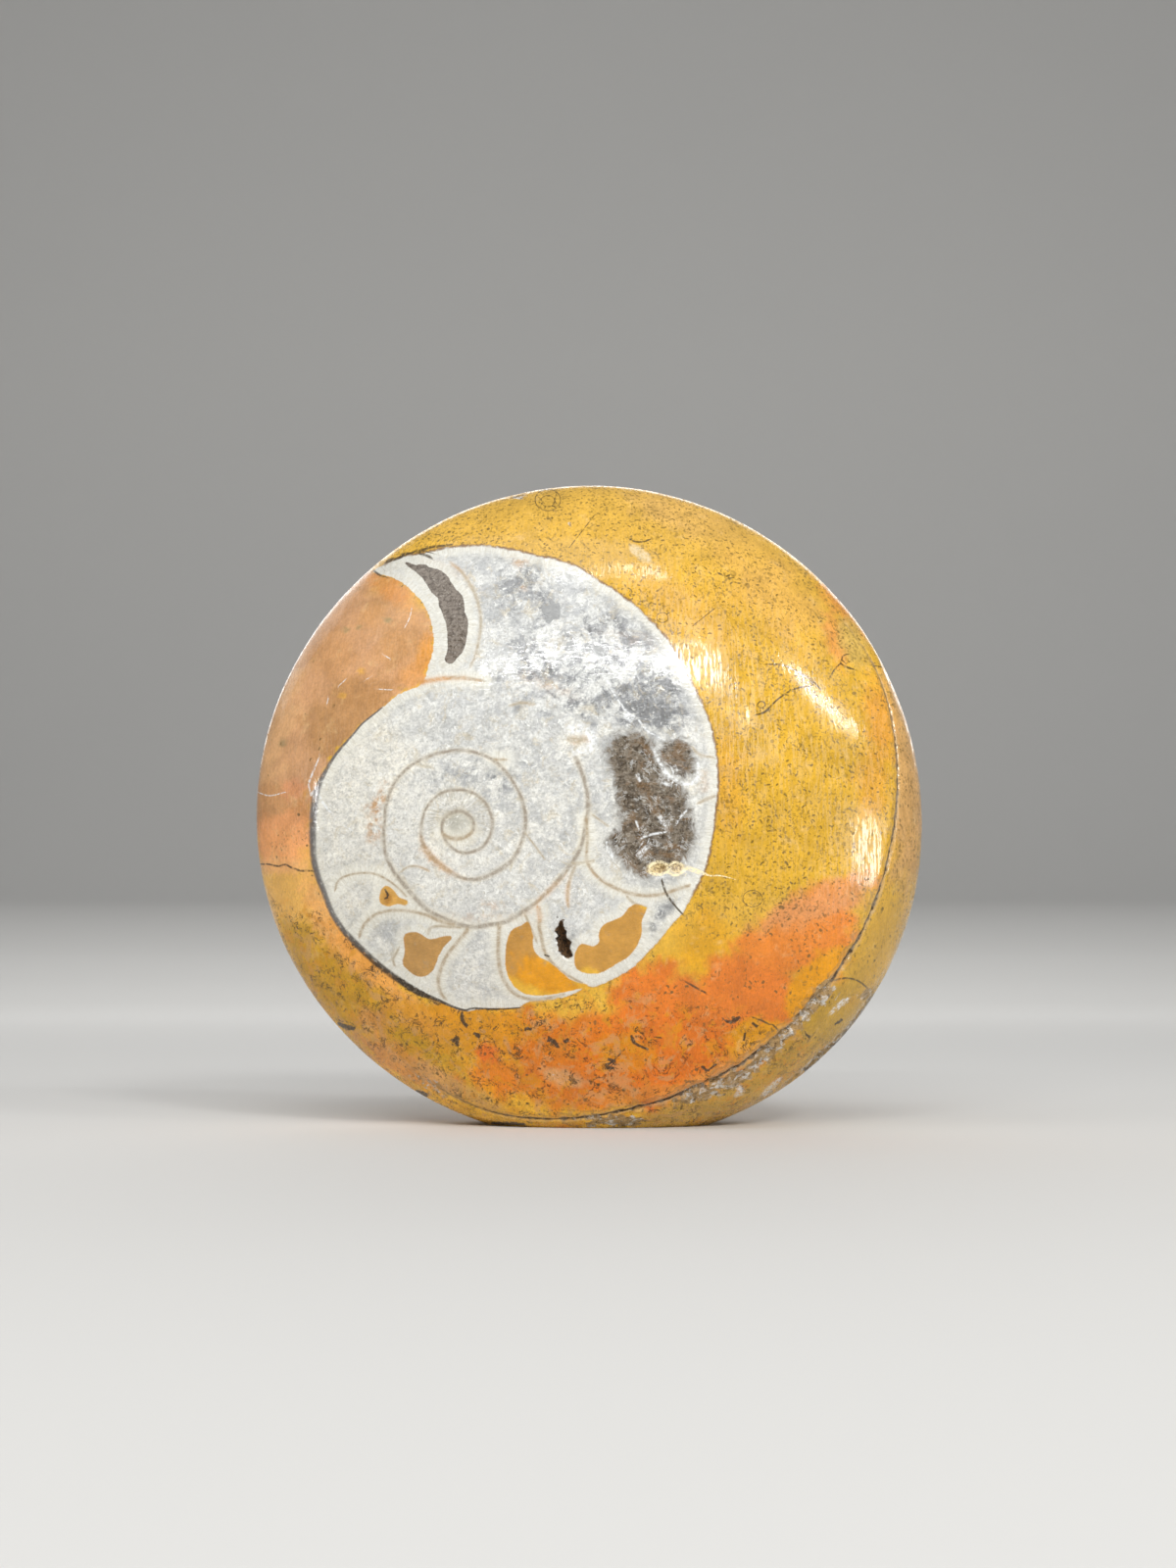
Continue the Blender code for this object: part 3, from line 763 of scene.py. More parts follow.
def line_field(place, *lines):
    """Offset from the nearest line in half widths, how strongly it shows, its distance in pixels, its run."""
    offset, strength = np.full(len(place), 30.0), np.zeros(len(place))
    distance, along = np.full(len(place), FAR), np.zeros(len(place))
    for line in lines:
        near, gap, run_along, width, over = nearest(place, rounded(line, False), 16.0)
        closer = np.abs(gap) < distance[near]
        chosen = near[closer]
        distance[chosen] = np.abs(gap[closer])
        along[chosen] = run_along[closer]
        offset[chosen] = np.clip(gap[closer] / np.maximum(width[closer], 0.3), -30, 30)
        before_end = 1 - smooth(0.0, 1.5, over[closer])
        strength[chosen] = np.clip(1.6 - np.abs(gap[closer]) / 6.0, 0, 1) * before_end
    return offset, strength, distance, along


def ringlet_lines():
    """The round fossils as closed lines of their own width."""
    turns = np.linspace(0, math.tau, 17)
    return [
        [(x + radius * math.cos(t), y + 0.85 * radius * math.sin(t), width) for t in turns]
        for x, y, radius, width in RINGLETS
    ]


def spot_share(place, points, spot, softness, waver=0.18):
    """One inside a tilted oval, nought outside, with a wavering edge."""
    x, y, half_x, half_y, turn = spot[:5]
    tilt = math.radians(turn)
    right, down = place[:, 0] - x, place[:, 1] - y
    along = (right * math.cos(tilt) + down * math.sin(tilt)) / half_x
    across = (down * math.cos(tilt) - right * math.sin(tilt)) / half_y
    size = PIXEL * MM * min(half_x, half_y)
    edge = np.hypot(along, across) + waver * ripple(points, max(size * 1.1, 1.4 * MM), int(x + 7 * y))
    edge += 0.5 * waver * ripple(points, max(size * 0.35, 0.9 * MM), int(3 * x + y))
    return 1 - smooth(1 - softness, 1 + softness, edge)


def linear(colour):
    """sRGB hex to linear red, green and blue."""
    parts = np.array([int(colour[i : i + 2], 16) / 255 for i in (0, 2, 4)])
    return np.where(parts <= 0.04045, parts / 12.92, ((parts + 0.055) / 1.055) ** 2.4)


def stained(colour, place, points, stains, inside_of=None):
    """Lays each stain over the colour, where allowed."""
    for *spot, paint, strength, softness in stains:
        share = strength * spot_share(place, points, spot, softness)
        if inside_of is not None:
            share = share * inside_of
        colour = colour + (linear(paint) - colour) * share[:, None]
    return colour


def cloud(place, points, spots, softness=0.8, waver=0.3):
    """Sum of the spots, each as strong as its last number says."""
    return sum(spot[5] * spot_share(place, points, spot, softness, waver) for spot in spots)


def seam_width(angle):
    """Half width in millimetres of the open seam, by angle in degrees."""
    degrees = (-130, -118, -105, -90, -75, -60, -45, -35, -25, -10, 10, 27, 40)
    widths = (0.0, 0.12, 0.22, 0.3, 0.36, 0.4, 0.42, 0.36, 0.3, 0.27, 0.25, 0.18, 0.0)
    return np.interp(np.degrees(angle), degrees, widths)


def sediment_colours(place, points, on_wall, in_chamber, shell):
    """Linear colour at every point: stains laid in turn, then warmer and paler low down, partly painted light,
    and darker to the right and above as painted shade.
    """
    across, down = place[:, 0], place[:, 1]
    colour = np.tile(linear(SEDIMENT), (len(points), 1))
    colour = stained(colour, place, points, STAINS)
    colour = stained(colour, place, points, WALL_STAINS, on_wall)

    # Painted light and shade: warmer and paler low down, partly the stone's own warmth and partly painted
    # light; darker to the right and above as painted shade
    low = smooth(880, 1060, down) * (1 - 0.9 * smooth(490, 600, across)) + 0.7 * smooth(1070, 1110, down)
    low = low + 1.1 * (1 - smooth(300, 420, across)) * smooth(830, 880, down)
    warmth_and_painted_light = 1 + np.minimum(low, 1.5)[:, None] * (0.16, 0.12, -0.05)
    right = smooth(620, 740, across) * smooth(640, 760, down) * (1 - 0.7 * smooth(1060, 1100, down))
    above = 0.75 * (1 - smooth(640, 760, down)) * smooth(440, 560, across)
    colour = colour * warmth_and_painted_light * (1 - 0.13 * np.maximum(right, above)[:, None])

    colour = stained(colour, place, points, CHAMBER_STAINS, in_chamber)
    return stained(colour, place, points, FILL_STAINS, 1 - smooth(-4.0, 4.0, shell))


def broken_out(place, points, turn, front, facing):
    """Share of rubble, of the ledge below the seam and of the chip's pits at every point."""
    rubble = np.clip(cloud(place, points, RUBBLE, 0.5, 0.35), 0, 1) * front * smooth(-0.10, 0.15, facing)
    ledge = bump(turn, LEDGE_MIDDLE, LEDGE_HALF_WIDTH) ** 0.5
    ledge = ledge * np.exp(-(((points[:, 1] - LEDGE_PLACE) / (1.1 * MM)) ** 2)) * front
    pit = np.maximum(*(spot_share(place, points, spot, 0.25) for spot in CHIP_PITS)) * front
    return rubble, ledge, pit


def sunk_depth(points, turn, gap, seam_strength, width, rubble, ledge, pit, hollow):
    """How deep the surface lies under the polished form.

    The seam's groove is a bell over the distance from the seam; each broken part is its share times its
    depth, made ragged by ripples of a half to one millimetre; slow and quick waves of hand polish are added.
    """
    ragged = np.clip(0.7 + 0.5 * ripple(points, 1.1 * MM, 17) + 0.3 * ripple(points, 0.5 * MM, 18), 0, 1.6)
    chips = sum(depth * bump(turn, middle, half) for middle, half, depth in SEAM_CHIPS)
    sink = SEAM_GROOVE * seam_strength * np.exp(-((gap / (0.9 * width)) ** 2))
    sink = sink + chips * ragged * np.exp(-(((gap - 0.3) / 0.8) ** 2))
    sink = sink + LEDGE_DEPTH * ledge * ragged
    sink = sink + RUBBLE_DEPTH * rubble * ragged
    sink = sink + HOLLOW_DEPTH * (1 - smooth(-5.0, 0.5, hollow))
    sink = sink + PIT_DEPTH * pit * ragged
    slow, quick = ripple(points, 16 * MM, 41), ripple(points, 5 * MM, 42)
    sink = sink - SLOW_WAVE * (slow - 1.5) * 0.7 + QUICK_WAVE * quick
    sink[points[:, 2] < 0.02 * MM] = 0.0  # the foot stays flat
    return sink


def build_stone():
    """The stone's mesh, sunk where it is broken, with all its drawing stored on the vertices."""
    angle, grid = stone_grid()
    columns, rows = grid.shape[:2]
    length = np.linalg.norm(np.diff(grid, axis=1), axis=-1)
    run_down = np.concatenate([np.zeros((columns, 1)), np.cumsum(length, axis=1)], axis=1)
    middle = FACE_ROWS - 1 + SEAM_ROWS // 2
    seam_gap = (run_down - run_down[:, middle : middle + 1]) / MM
    front_rows = FACE_ROWS - 1 + SEAM_ROWS + WALL_ROWS

    # Every grid point in turn, then the two poles
    poles = [(0.0, -FRONT_RISE, CENTRE_HEIGHT), (0.0, BACK_RISE, CENTRE_HEIGHT)]
    points = np.concatenate([grid.reshape(-1, 3), poles])
    normals = np.concatenate([outward(grid).reshape(-1, 3), [(0.0, -1.0, 0.0), (0.0, 1.0, 0.0)]])
    turn = np.concatenate([np.repeat(angle, rows), [0.0, 0.0]])
    gap = np.concatenate([seam_gap.reshape(-1), [-60.0, 60.0]])
    front = np.concatenate([np.tile(np.arange(rows) < front_rows, columns), [True, False]])
    place = picture_place(points)
    seen = np.where(front[:, None], place, OFF_PICTURE)

    shell, shell_run = area_distance(seen, SHELL)
    fill, fill_run = area_distance(seen, *FILLED_CHAMBERS)
    dark, dark_run = area_distance(seen, DARK_CHAMBER)
    hollow, _ = area_distance(seen, HOLLOW)
    spar, _ = area_distance(seen, *DARK_SPAR)
    chamber, _ = area_distance(place, BODY_CHAMBER)
    spiral = line_field(seen, SPIRAL)
    first = line_field(seen, *FIRST_WALLS)
    second = line_field(seen, *SECOND_WALLS)
    margin = line_field(seen, MARGIN)
    cracks = line_field(seen, *CRACKS, *ringlet_lines())
    grey_crystal, _ = area_distance(seen, *GREY_CRYSTALS)
    white = line_field(seen, *WHITE_VEINS_AND_GLINT)
    chip = line_field(seen, *CHIP_RIMS_AND_GLINT)
    blots = line_field(seen, *BLOTS)
    towards = viewpoint()[0] - points
    facing = (normals * towards).sum(axis=1) / np.linalg.norm(towards, axis=1)
    best_polish = spot_share(seen, points, BEST_POLISH, 0.4, 0.1)
    disc = spot_share(seen, points, CENTRE_DISC, 0.12, 0.05)
    pale_fossil = spot_share(seen, points, PALE_FOSSIL, 0.2, 0.1)

    # Fibres grow from the nearest of these edges; the added runs keep the fibres of one from those of another
    fringe_gap = np.full(len(points), FAR)
    fringe_run = np.zeros(len(points))
    for distance, along in (
        (np.abs(shell), shell_run), (np.abs(fill), fill_run + 900), (np.abs(dark), dark_run + 1700),
        (first[2], first[3] + 2500),
    ):
        closer = distance < fringe_gap
        fringe_gap[closer] = distance[closer]
        fringe_run[closer] = along[closer]

    on_wall = np.clip(smooth(-0.2, 0.5, gap) * seam_width(turn) / 0.36, 0, 1)
    in_chamber = 1 - smooth(-3.0, 3.0, chamber + 2.5 * ripple(points, 1.2 * MM, 5))
    colour = sediment_colours(place, points, on_wall, in_chamber, shell)

    rubble, ledge, pit = broken_out(place, points, turn, front, facing)
    seam_strength = np.clip(seam_width(turn) / 0.28, 0, 1)
    width = np.maximum(seam_width(turn), 0.1) * (1 + 0.35 * ripple(points, 1.5 * MM, 31))
    sink = sunk_depth(points, turn, gap, seam_strength, width, rubble, ledge, pit, hollow)
    points = points - normals * sink[:, None]
    points[:, 2] = np.maximum(points[:, 2], 0.0)

    mesh = bpy.data.meshes.new("fossil_stone_surface")
    mesh.from_pydata(points.tolist(), [], grid_faces(columns, rows))
    store(mesh, "sediment_colour", np.concatenate([colour, np.ones((len(points), 1))], axis=1))
    store(mesh, "areas", np.stack([shell, fill, dark], axis=1) * PIXEL)
    store(mesh, "deep_areas", np.stack([spar, hollow, np.minimum(pit, 1)], axis=1) * (PIXEL, PIXEL, 1.0))
    warm = np.clip(sum(spot_share(place, points, spot, 0.5) for spot in WARM_WALLS), 0, 1)
    for name, field, third in (
        ("spiral", spiral, warm), ("first_walls", first, warm), ("second_walls", second, warm),
        ("cracks", cracks, disc), ("chip", chip, pale_fossil),
        ("blots", (blots[0], blots[1] * smooth(-0.10, 0.12, facing)), best_polish),
    ):
        store(mesh, name, np.stack([field[0], field[1], third], axis=1))
    store(mesh, "crystals", np.stack([grey_crystal * PIXEL, white[0], white[1]], axis=1))
    shade = smooth(930, 985, place[:, 1])
    store(mesh, "margin", np.stack([margin[0], margin[1], shade], axis=1))
    skin = smooth(3.0, 12.0, np.abs(chamber)) * (1 - 0.75 * smooth(0.0, 30.0, place[:, 1] - 900))
    store(mesh, "fringe", np.stack([fringe_gap * PIXEL, fringe_run * PIXEL, skin], axis=1))
    clouds = [cloud(seen, points, spots) for spots in (GREY_CLOUDS, BROWN_STAINS, CREAM)]
    store(mesh, "clouds", np.stack(clouds, axis=1))
    store(mesh, "seam", np.stack([gap / width, seam_strength, np.clip(rubble + ledge, 0, 1)], axis=1))
    store(mesh, "grain", grain_amounts(place, points, in_chamber))
    mesh.polygons.foreach_set("use_smooth", np.ones(len(mesh.polygons), dtype=bool))
    mesh.update()
    stone = bpy.data.objects.new("fossil_stone_surface", mesh)
    bpy.context.scene.collection.objects.link(stone)
    return stone


def grain_amounts(place, points, in_chamber):
    """How many short dark flecks, how much dark veining, and how much of the front's stains show."""
    flecks = 0.9 - 0.5 * smooth(900, 1010, place[:, 1] + 12 * ripple(points, 6 * MM, 51))
    flecks = flecks * (1 - smooth(380, 330, place[:, 0]))
    flecks = np.clip(flecks + 0.25 * ripple(points, 7 * MM, 52), 0.05, 1) * (1 - in_chamber)
    low = smooth(930, 1040, place[:, 1] - 0.25 * (place[:, 0] - 500))
    left = 1 - smooth(300, 360, place[:, 0])
    veins = low + 0.5 * left * smooth(900, 960, place[:, 1]) + 0.3 * ripple(points, 6 * MM, 53) * low
    veins = np.clip(veins, 0, 1) * (1 - in_chamber)
    front_share = 1 - smooth(3 * MM, 12 * MM, points[:, 1])
    return np.stack([flecks, veins, front_share], axis=1)


def store(mesh, name, values):
    """Keeps a vector or a colour for each vertex under a name the material reads."""
    kind, field = {3: ("FLOAT_VECTOR", "vector"), 4: ("FLOAT_COLOR", "color")}[values.shape[1]]
    attribute = mesh.attributes.new(name, kind, "POINT")
    attribute.data.foreach_set(field, np.ascontiguousarray(values, dtype=np.float32).ravel())


# Nodes by the name used here: Blender's kind, the inputs filled in turn, the output given, and settings.
# A step goes smoothly from one level to another while its value passes from low to high: value, low,
# high, first level (nought if not given), second level (one if not given).
NODES = {
    "place": ("ShaderNodeTexCoord", (), "Object", {}),
    "stored": ("ShaderNodeAttribute", (), None, {}),
    "split": ("ShaderNodeSeparateXYZ", (0,), None, {}),
    "join": ("ShaderNodeCombineXYZ", (0, 1, 2), 0, {}),
    "noise": ("ShaderNodeTexNoise", ("Vector", "Scale", "Detail", "Roughness", "Distortion"), 0, {}),
    "cells": ("ShaderNodeTexVoronoi", ("Vector", "Scale"), None, {}),
    "step": (
        "ShaderNodeMapRange", ("Value", "From Min", "From Max", "To Min", "To Max"), 0,
        {"interpolation_type": "SMOOTHSTEP"},
    ),
    "either": ("ShaderNodeMix", (0, 2, 3), 0, {}),
    "blend": ("ShaderNodeMix", (0, 6, 7), 2, {"data_type": "RGBA"}),
    "tint": ("ShaderNodeMix", (0, 6, 7), 2, {"data_type": "RGBA", "blend_type": "MULTIPLY"}),
    "bump": ("ShaderNodeBump", ("Strength", "Distance", "Height", "Normal"), 0, {}),
    "scaled": ("ShaderNodeVectorMath", (0, "Scale"), 0, {"operation": "SCALE"}),
    "moved": ("ShaderNodeVectorMath", (0, 1), 0, {"operation": "ADD"}),
    "apart": ("ShaderNodeVectorMath", (0, 1), 0, {"operation": "SUBTRACT"}),
    "unit": ("ShaderNodeVectorMath", (0,), 0, {"operation": "NORMALIZE"}),
    "along": ("ShaderNodeVectorMath", (0, 1), "Value", {"operation": "DOT_PRODUCT"}),
}
for operation in ("ADD", "SUBTRACT", "MULTIPLY", "DIVIDE", "MAXIMUM", "ABSOLUTE", "SQRT"):
    NODES[operation.lower()] = ("ShaderNodeMath", (0, 1), 0, {"operation": operation})


class Shading:
    """One material: its nodes, and the patterns that several parts of the stone share."""

    def __init__(self, name):
        self.material = bpy.data.materials.new(name)
        self.material.use_nodes = True
        self.tree = self.material.node_tree
        self.surface = self.tree.nodes["Principled BSDF"]
        self.mm = self.add("scaled", self.add("place"), 1 / MM)
        self.grain = self.mottle(0.36, 4, 0.7)
        self.crystals = self.mottle(0.5, 5, 0.74, 0.6, shift=27)
        self.ragged = self.sway(0.55, 0.7, 4, 0.6, shift=3)

    def add(self, name, *values, **settings):
        """Adds a node of the table with its settings, fills its inputs in turn, and gives its output."""
        kind, inputs, output, usual = NODES[name]
        node = self.tree.nodes.new(kind)
        for setting, value in {**usual, **settings}.items():
            setattr(node, setting, value)
        for key, value in zip(inputs, values):
            self.fill(node.inputs[key], value)
        return node.outputs if output is None else node.outputs[output]

    def fill(self, socket, value):
        """Links another node's output to an input, or sets it to a number, a vector or a hex colour."""
        if isinstance(value, bpy.types.NodeSocket):
            self.tree.links.new(value, socket)
        elif isinstance(value, str):
            socket.default_value = (*linear(value), 1.0)
        else:
            socket.default_value = value

    def stored(self, name):
        """The three values kept on the surface under a name."""
        return self.add("split", self.add("stored", attribute_name=name)["Vector"])

    def mottle(self, size, detail=3.0, roughness=0.55, bend=0.0, vector=None, shift=0.0):
        """Mottling with grains of about this size, in millimetres of the stone unless a vector is given.

        Octaves finer than a twentieth of a unit are left out, because they would not show.
        """
        vector = self.mm if vector is None else vector
        detail = min(detail, math.log2(size / 0.05))
        if shift:
            vector = self.add("moved", vector, (shift, 2 * shift, -shift))
        return self.add("noise", vector, 1.0 / size, detail, roughness, bend)

    def sway(self, reach, *pattern, **more):
        """Mottling about nought: reach times the mottling less a half."""
        return self.add("multiply", self.add("subtract", self.mottle(*pattern, **more), 0.5), reach)

    def within(self, distance, roughen, soft=0.06):
        """One inside an area and nought outside, its edge roughened by this share of the ragged pattern."""
        edge = self.add("add", distance, self.add("multiply", self.ragged, roughen))
        return self.add("step", edge, -soft, soft, 1.0, 0.0)

    def shreds(self, spacing, reach, half_width, bow, missing):
        """Thin bowed plates, one round each of many scattered middles, seen where the surface cuts them.

        A plate holds the points within its reach of the middle whose height over its plane, less the
        bow times the distance squared, is under the half width. Missing is the share left out.
        """
        cell = self.add("cells", self.mm, 1 / spacing)
        away = self.add("apart", self.mm, cell["Position"])
        facing = self.add("unit", self.add("apart", cell["Color"], (0.5, 0.5, 0.5)))
        gap = self.add("multiply", cell["Distance"], spacing)
        bowed = self.add("multiply", self.add("multiply", gap, gap), bow)
        height = self.add("add", self.add("along", away, facing), bowed)
        plate = self.add("step", self.add("absolute", height), half_width * 0.7, half_width * 1.7, 1.0, 0.0)
        _, chance, depth = self.add("split", cell["Color"])
        kept = self.add("step", self.add("subtract", chance, missing), 0.0, 0.04)
        kept = self.add("multiply", kept, self.add("step", depth, 0.0, 1.0, 0.35))
        near = self.add("step", gap, reach * 0.85, reach * 1.1, 1.0, 0.0)
        return self.add("multiply", self.add("multiply", plate, near), kept)

    def threads(self, pattern, half_width):
        """Thin winding lines where a pattern passes its middle value."""
        away = self.add("absolute", self.add("subtract", pattern, 0.5))
        return self.add("step", away, half_width * 0.5, half_width, 1.0, 0.0)


def line_mask(s, name, inner=0.4, outer=2.1):
    """How strongly a stored line covers a point, full at its middle and soft at its edge; its third value."""
    offset, strength, tone = s.stored(name)
    across = s.add("step", s.add("absolute", offset), inner, outer, 1.0, 0.0)
    return s.add("multiply", across, strength), tone


def sediment_look(s):
    """Lime mud turned golden to orange by iron, with short dark flecks and dark branching veins."""
    flecks, veins, front_share = s.stored("grain")
    colour = s.add("stored", attribute_name="sediment_colour")["Color"]
    zones = s.add("blend", s.add("step", s.mottle(24, 4, 0.6, 0.8), 0.5, 0.56), "d6a43c", "d27b36")
    zones = s.add("blend", s.add("step", s.mottle(30, 4, 0.6, 0.6, shift=140), 0.54, 0.60), zones, "cf9f6c")
    zones = s.add(
        "blend", s.add("step", s.mottle(11, 5, 0.6, 0.8, shift=95), 0.56, 0.60, 0.0, 0.7), zones, "b98828"
    )
    colour = s.add("blend", front_share, zones, colour)
    tone = s.mottle(4.5, 6, 0.66, 0.5)
    colour = s.add("tint", 1.0, colour, s.add("step", tone, 0.30, 0.70, 0.84, 1.12))
    colour = s.add(
        "blend", s.add("step", s.mottle(2.2, 5, 0.7, 0.4, shift=81), 0.55, 0.72, 0.0, 0.30), colour, "e9c68e"
    )
    colour = s.add("tint", 1.0, colour, s.add("step", s.grain, 0.28, 0.74, 0.86, 1.12))

    # Flecks: thin curved shreds of shell in every direction, cut across by the polished face
    few = s.add("multiply", s.add("subtract", 1.0, flecks), 0.9)
    clumps = s.add("step", s.mottle(3.2, 3, 0.6, shift=29), 0.38, 0.60, 0.45, 0.0)
    missing = s.add("add", few, clumps)
    small = s.shreds(0.66, 0.27, 0.078, 0.9, missing)
    large = s.shreds(1.8, 0.50, 0.075, 0.7, s.add("add", missing, 0.30))
    dots = s.add("subtract", s.mottle(0.34, 1.0, 0.5, shift=45), s.add("multiply", missing, 0.10))
    dots = s.add("step", dots, 0.57, 0.62, 0.0, 0.55)
    short = s.add(
        "maximum", s.add("maximum", small, large), s.add("multiply", dots, s.add("step", flecks, 0.1, 0.5))
    )
    colour = s.add("blend", s.add("multiply", short, 0.85), colour, "604e24")

    # Marbling of the lower part in golds, orange and tan
    marble = s.mottle(3.4, 6, 0.66, 1.4, shift=84)
    shown = s.add("step", veins, 0.1, 0.7, 0.0, 0.52)
    colour = s.add(
        "blend", s.add("multiply", shown, s.add("step", marble, 0.55, 0.60, 0.0, 0.8)), colour, "d58c2a"
    )
    colour = s.add("blend", s.add("multiply", shown, s.add("step", marble, 0.45, 0.40)), colour, "cb9a64")
    amber = s.add("step", s.mottle(2.6, 5, 0.66, 1.0, shift=106), 0.56, 0.60)
    colour = s.add("blend", s.add("multiply", shown, amber), colour, "d6920c")

    branch = s.threads(s.mottle(1.9, 6, 0.66, 1.4, shift=33), 0.028)
    patchy = s.add("step", s.mottle(2.0, 3, 0.6, shift=71), 0.47, 0.60)
    branch = s.add("multiply", s.add("multiply", branch, patchy), s.add("step", veins, 0.0, 0.6, 0.0, 0.9))
    blots = s.add(
        "multiply", s.add("step", s.mottle(1.0, 5, 0.72, 0.8, shift=12), 0.67, 0.71),
        s.add("step", veins, 0.3, 0.8, 0.0, 0.9),
    )
    specks = s.add(
        "multiply", s.add("step", s.mottle(0.35, 2, 0.6, shift=39), 0.66, 0.70),
        s.add("step", veins, 0.1, 0.7, 0.0, 0.7),
    )
    dark = s.add("maximum", branch, s.add("maximum", blots, specks))
    return s.add("blend", dark, colour, "3d2d12"), short


def calcite_look(s):
    """Milky calcite that fills the shell: white and cream, clouded grey, fibrous along every wall."""
    grey, brown, cream = s.stored("clouds")
    distance, along, _ = s.stored("fringe")

    # Fibres stand like rays round the middle of the coil
    x, _, z = s.add("split", s.mm)
    across, upward = s.add("subtract", x, COIL_MIDDLE[0]), s.add("subtract", z, COIL_MIDDLE[1])
    reach = s.add("sqrt", s.add("add", s.add("multiply", across, across), s.add("multiply", upward, upward)))
    reach = s.add("maximum", reach, 0.5)
    ray_place = s.add(
        "join", s.add("multiply", s.add("divide", across, reach), 24.0),
        s.add("multiply", s.add("divide", upward, reach), 24.0), s.add("multiply", reach, 0.5),
    )
    rays = s.mottle(1.0, 4, 0.62, 0.4, vector=ray_place)

    broad = s.mottle(5.5, 6, 0.64, 1.2)
    fine = s.mottle(1.5, 6, 0.70, 0.8, shift=20)
    mixed = s.add("add", s.add("multiply", broad, 0.42), s.add("multiply", fine, 0.38))
    mixed = s.add("add", mixed, s.add("multiply", rays, 0.20))
    colour = s.add("blend", cream, "dfdfda", "f3efe2")
    shade = s.add(
        "multiply", s.add("step", mixed, 0.42, 0.58), s.add("add", s.add("multiply", grey, 0.70), 0.36),
        use_clamp=True,
    )
    colour = s.add("blend", shade, colour, "a0a2a4")
    brushed = s.add("step", s.mottle(0.9, 6, 0.72, 2.0, shift=112), 0.50, 0.64, 0.0, 0.42)
    colour = s.add("blend", brushed, colour, "9a9a96")
    deep = s.add("multiply", s.add("step", mixed, 0.46, 0.60), s.add("step", grey, 0.55, 1.2, 0.0, 0.9))
    colour = s.add("blend", deep, colour, "747473")
    warm = s.add("step", s.mottle(2.6, 6, 0.72, 1.5, shift=88), 0.52, 0.68, 0.0, 0.60)
    colour = s.add("blend", warm, colour, "c9bc9f")
    stain = s.add(
        "multiply", brown, s.add("step", s.mottle(0.9, 4, 0.65, shift=5), 0.38, 0.6), use_clamp=True
    )
    colour = s.add("blend", s.add("multiply", stain, 0.85), colour, "bf9362")
    colour = s.add("tint", 1.0, colour, s.add("step", rays, 0.32, 0.68, 0.88, 1.08))
    inner = s.add(
        "multiply", s.add("step", reach, 3.6, 4.6, 1.0, 0.0), s.add("step", rays, 0.56, 0.40, 0.0, 0.45)
    )
    colour = s.add("blend", inner, colour, "b3a88e")
    disc = s.stored("cracks")[2]
    colour = s.add(
        "blend", s.add("multiply", disc, 0.75), colour,
        s.add("blend", s.add("step", fine, 0.4, 0.6), "a5a293", "c6c3b5"),
    )
    colour = s.add("tint", 1.0, colour, s.add("step", s.grain, 0.30, 0.70, 0.80, 1.10))
    milk = s.add("step", s.mottle(0.8, 5, 0.72, 1.4, shift=9), 0.56, 0.68, 0.0, 0.80)
    colour = s.add("blend", milk, colour, "f1f1ec")

    # White fibrous lining on both sides of every wall, with a faint grey edge
    near_wall = s.add("add", distance, s.add("multiply", s.add("subtract", fine, 0.5), 0.9))
    fibres = s.mottle(
        1.0, 3, 0.6, vector=s.add("join", s.add("divide", along, 0.16), s.add("multiply", distance, 0.7), 0.0)
    )
    lining = s.add("step", near_wall, 0.45, 1.7, 1.0, 0.0)
    colour = s.add("blend", s.add("multiply", lining, 0.60), colour, "e8e6da")
    colour = s.add(
        "blend", s.add("multiply", lining, s.add("step", fibres, 0.60, 0.36, 0.0, 0.38)), colour, "b0a791"
    )
    edge = s.add("multiply", s.add("step", near_wall, 0.9, 1.5), s.add("step", near_wall, 1.5, 2.3, 1.0, 0.0))
    return s.add("blend", s.add("multiply", edge, 0.20), colour, "a5a49c")


def spar_look(s):
    """Clear calcite over dark ground: brown and grey blades with white glints."""
    coarse = s.mottle(1.3, 6, 0.74, 1.6, shift=55)
    colour = s.add("blend", s.add("step", coarse, 0.34, 0.62), "41372b", "7d7263")
    colour = s.add(
        "blend", s.add("step", s.mottle(2.4, 4, 0.65, 1.0, shift=72), 0.50, 0.62, 0.0, 0.6), colour, "7c6143"
    )
    colour = s.add("blend", s.add("step", s.crystals, 0.54, 0.66, 0.0, 0.6), colour, "aaa396")
    colour = s.add("blend", s.add("step", s.crystals, 0.44, 0.32, 0.0, 0.6), colour, "372d22")
    blades = s.threads(s.mottle(1.7, 5, 0.62, 2.4, shift=91), 0.035)
    shown = s.add("step", s.mottle(1.9, 2, 0.5, shift=77), 0.50, 0.58, 0.0, 0.6)
    return s.add("blend", s.add("multiply", blades, shown), colour, "cfd0cd")


def shell_skin(s, colour, shell):
    """Thin brown skin of the shell at its outer edge."""
    skin_share = s.stored("fringe")[2]
    skin = s.add(
        "step", s.add("absolute", s.add("add", shell, s.add("multiply", s.ragged, 1.1))), 0.04, 0.26, 1.0, 0.0
    )
    skin = s.add("multiply", skin, s.add("step", s.mottle(1.0, 3, 0.6, shift=58), 0.36, 0.56, 0.45, 0.9))
    return s.add("blend", s.add("multiply", skin, skin_share), colour, "80603f")


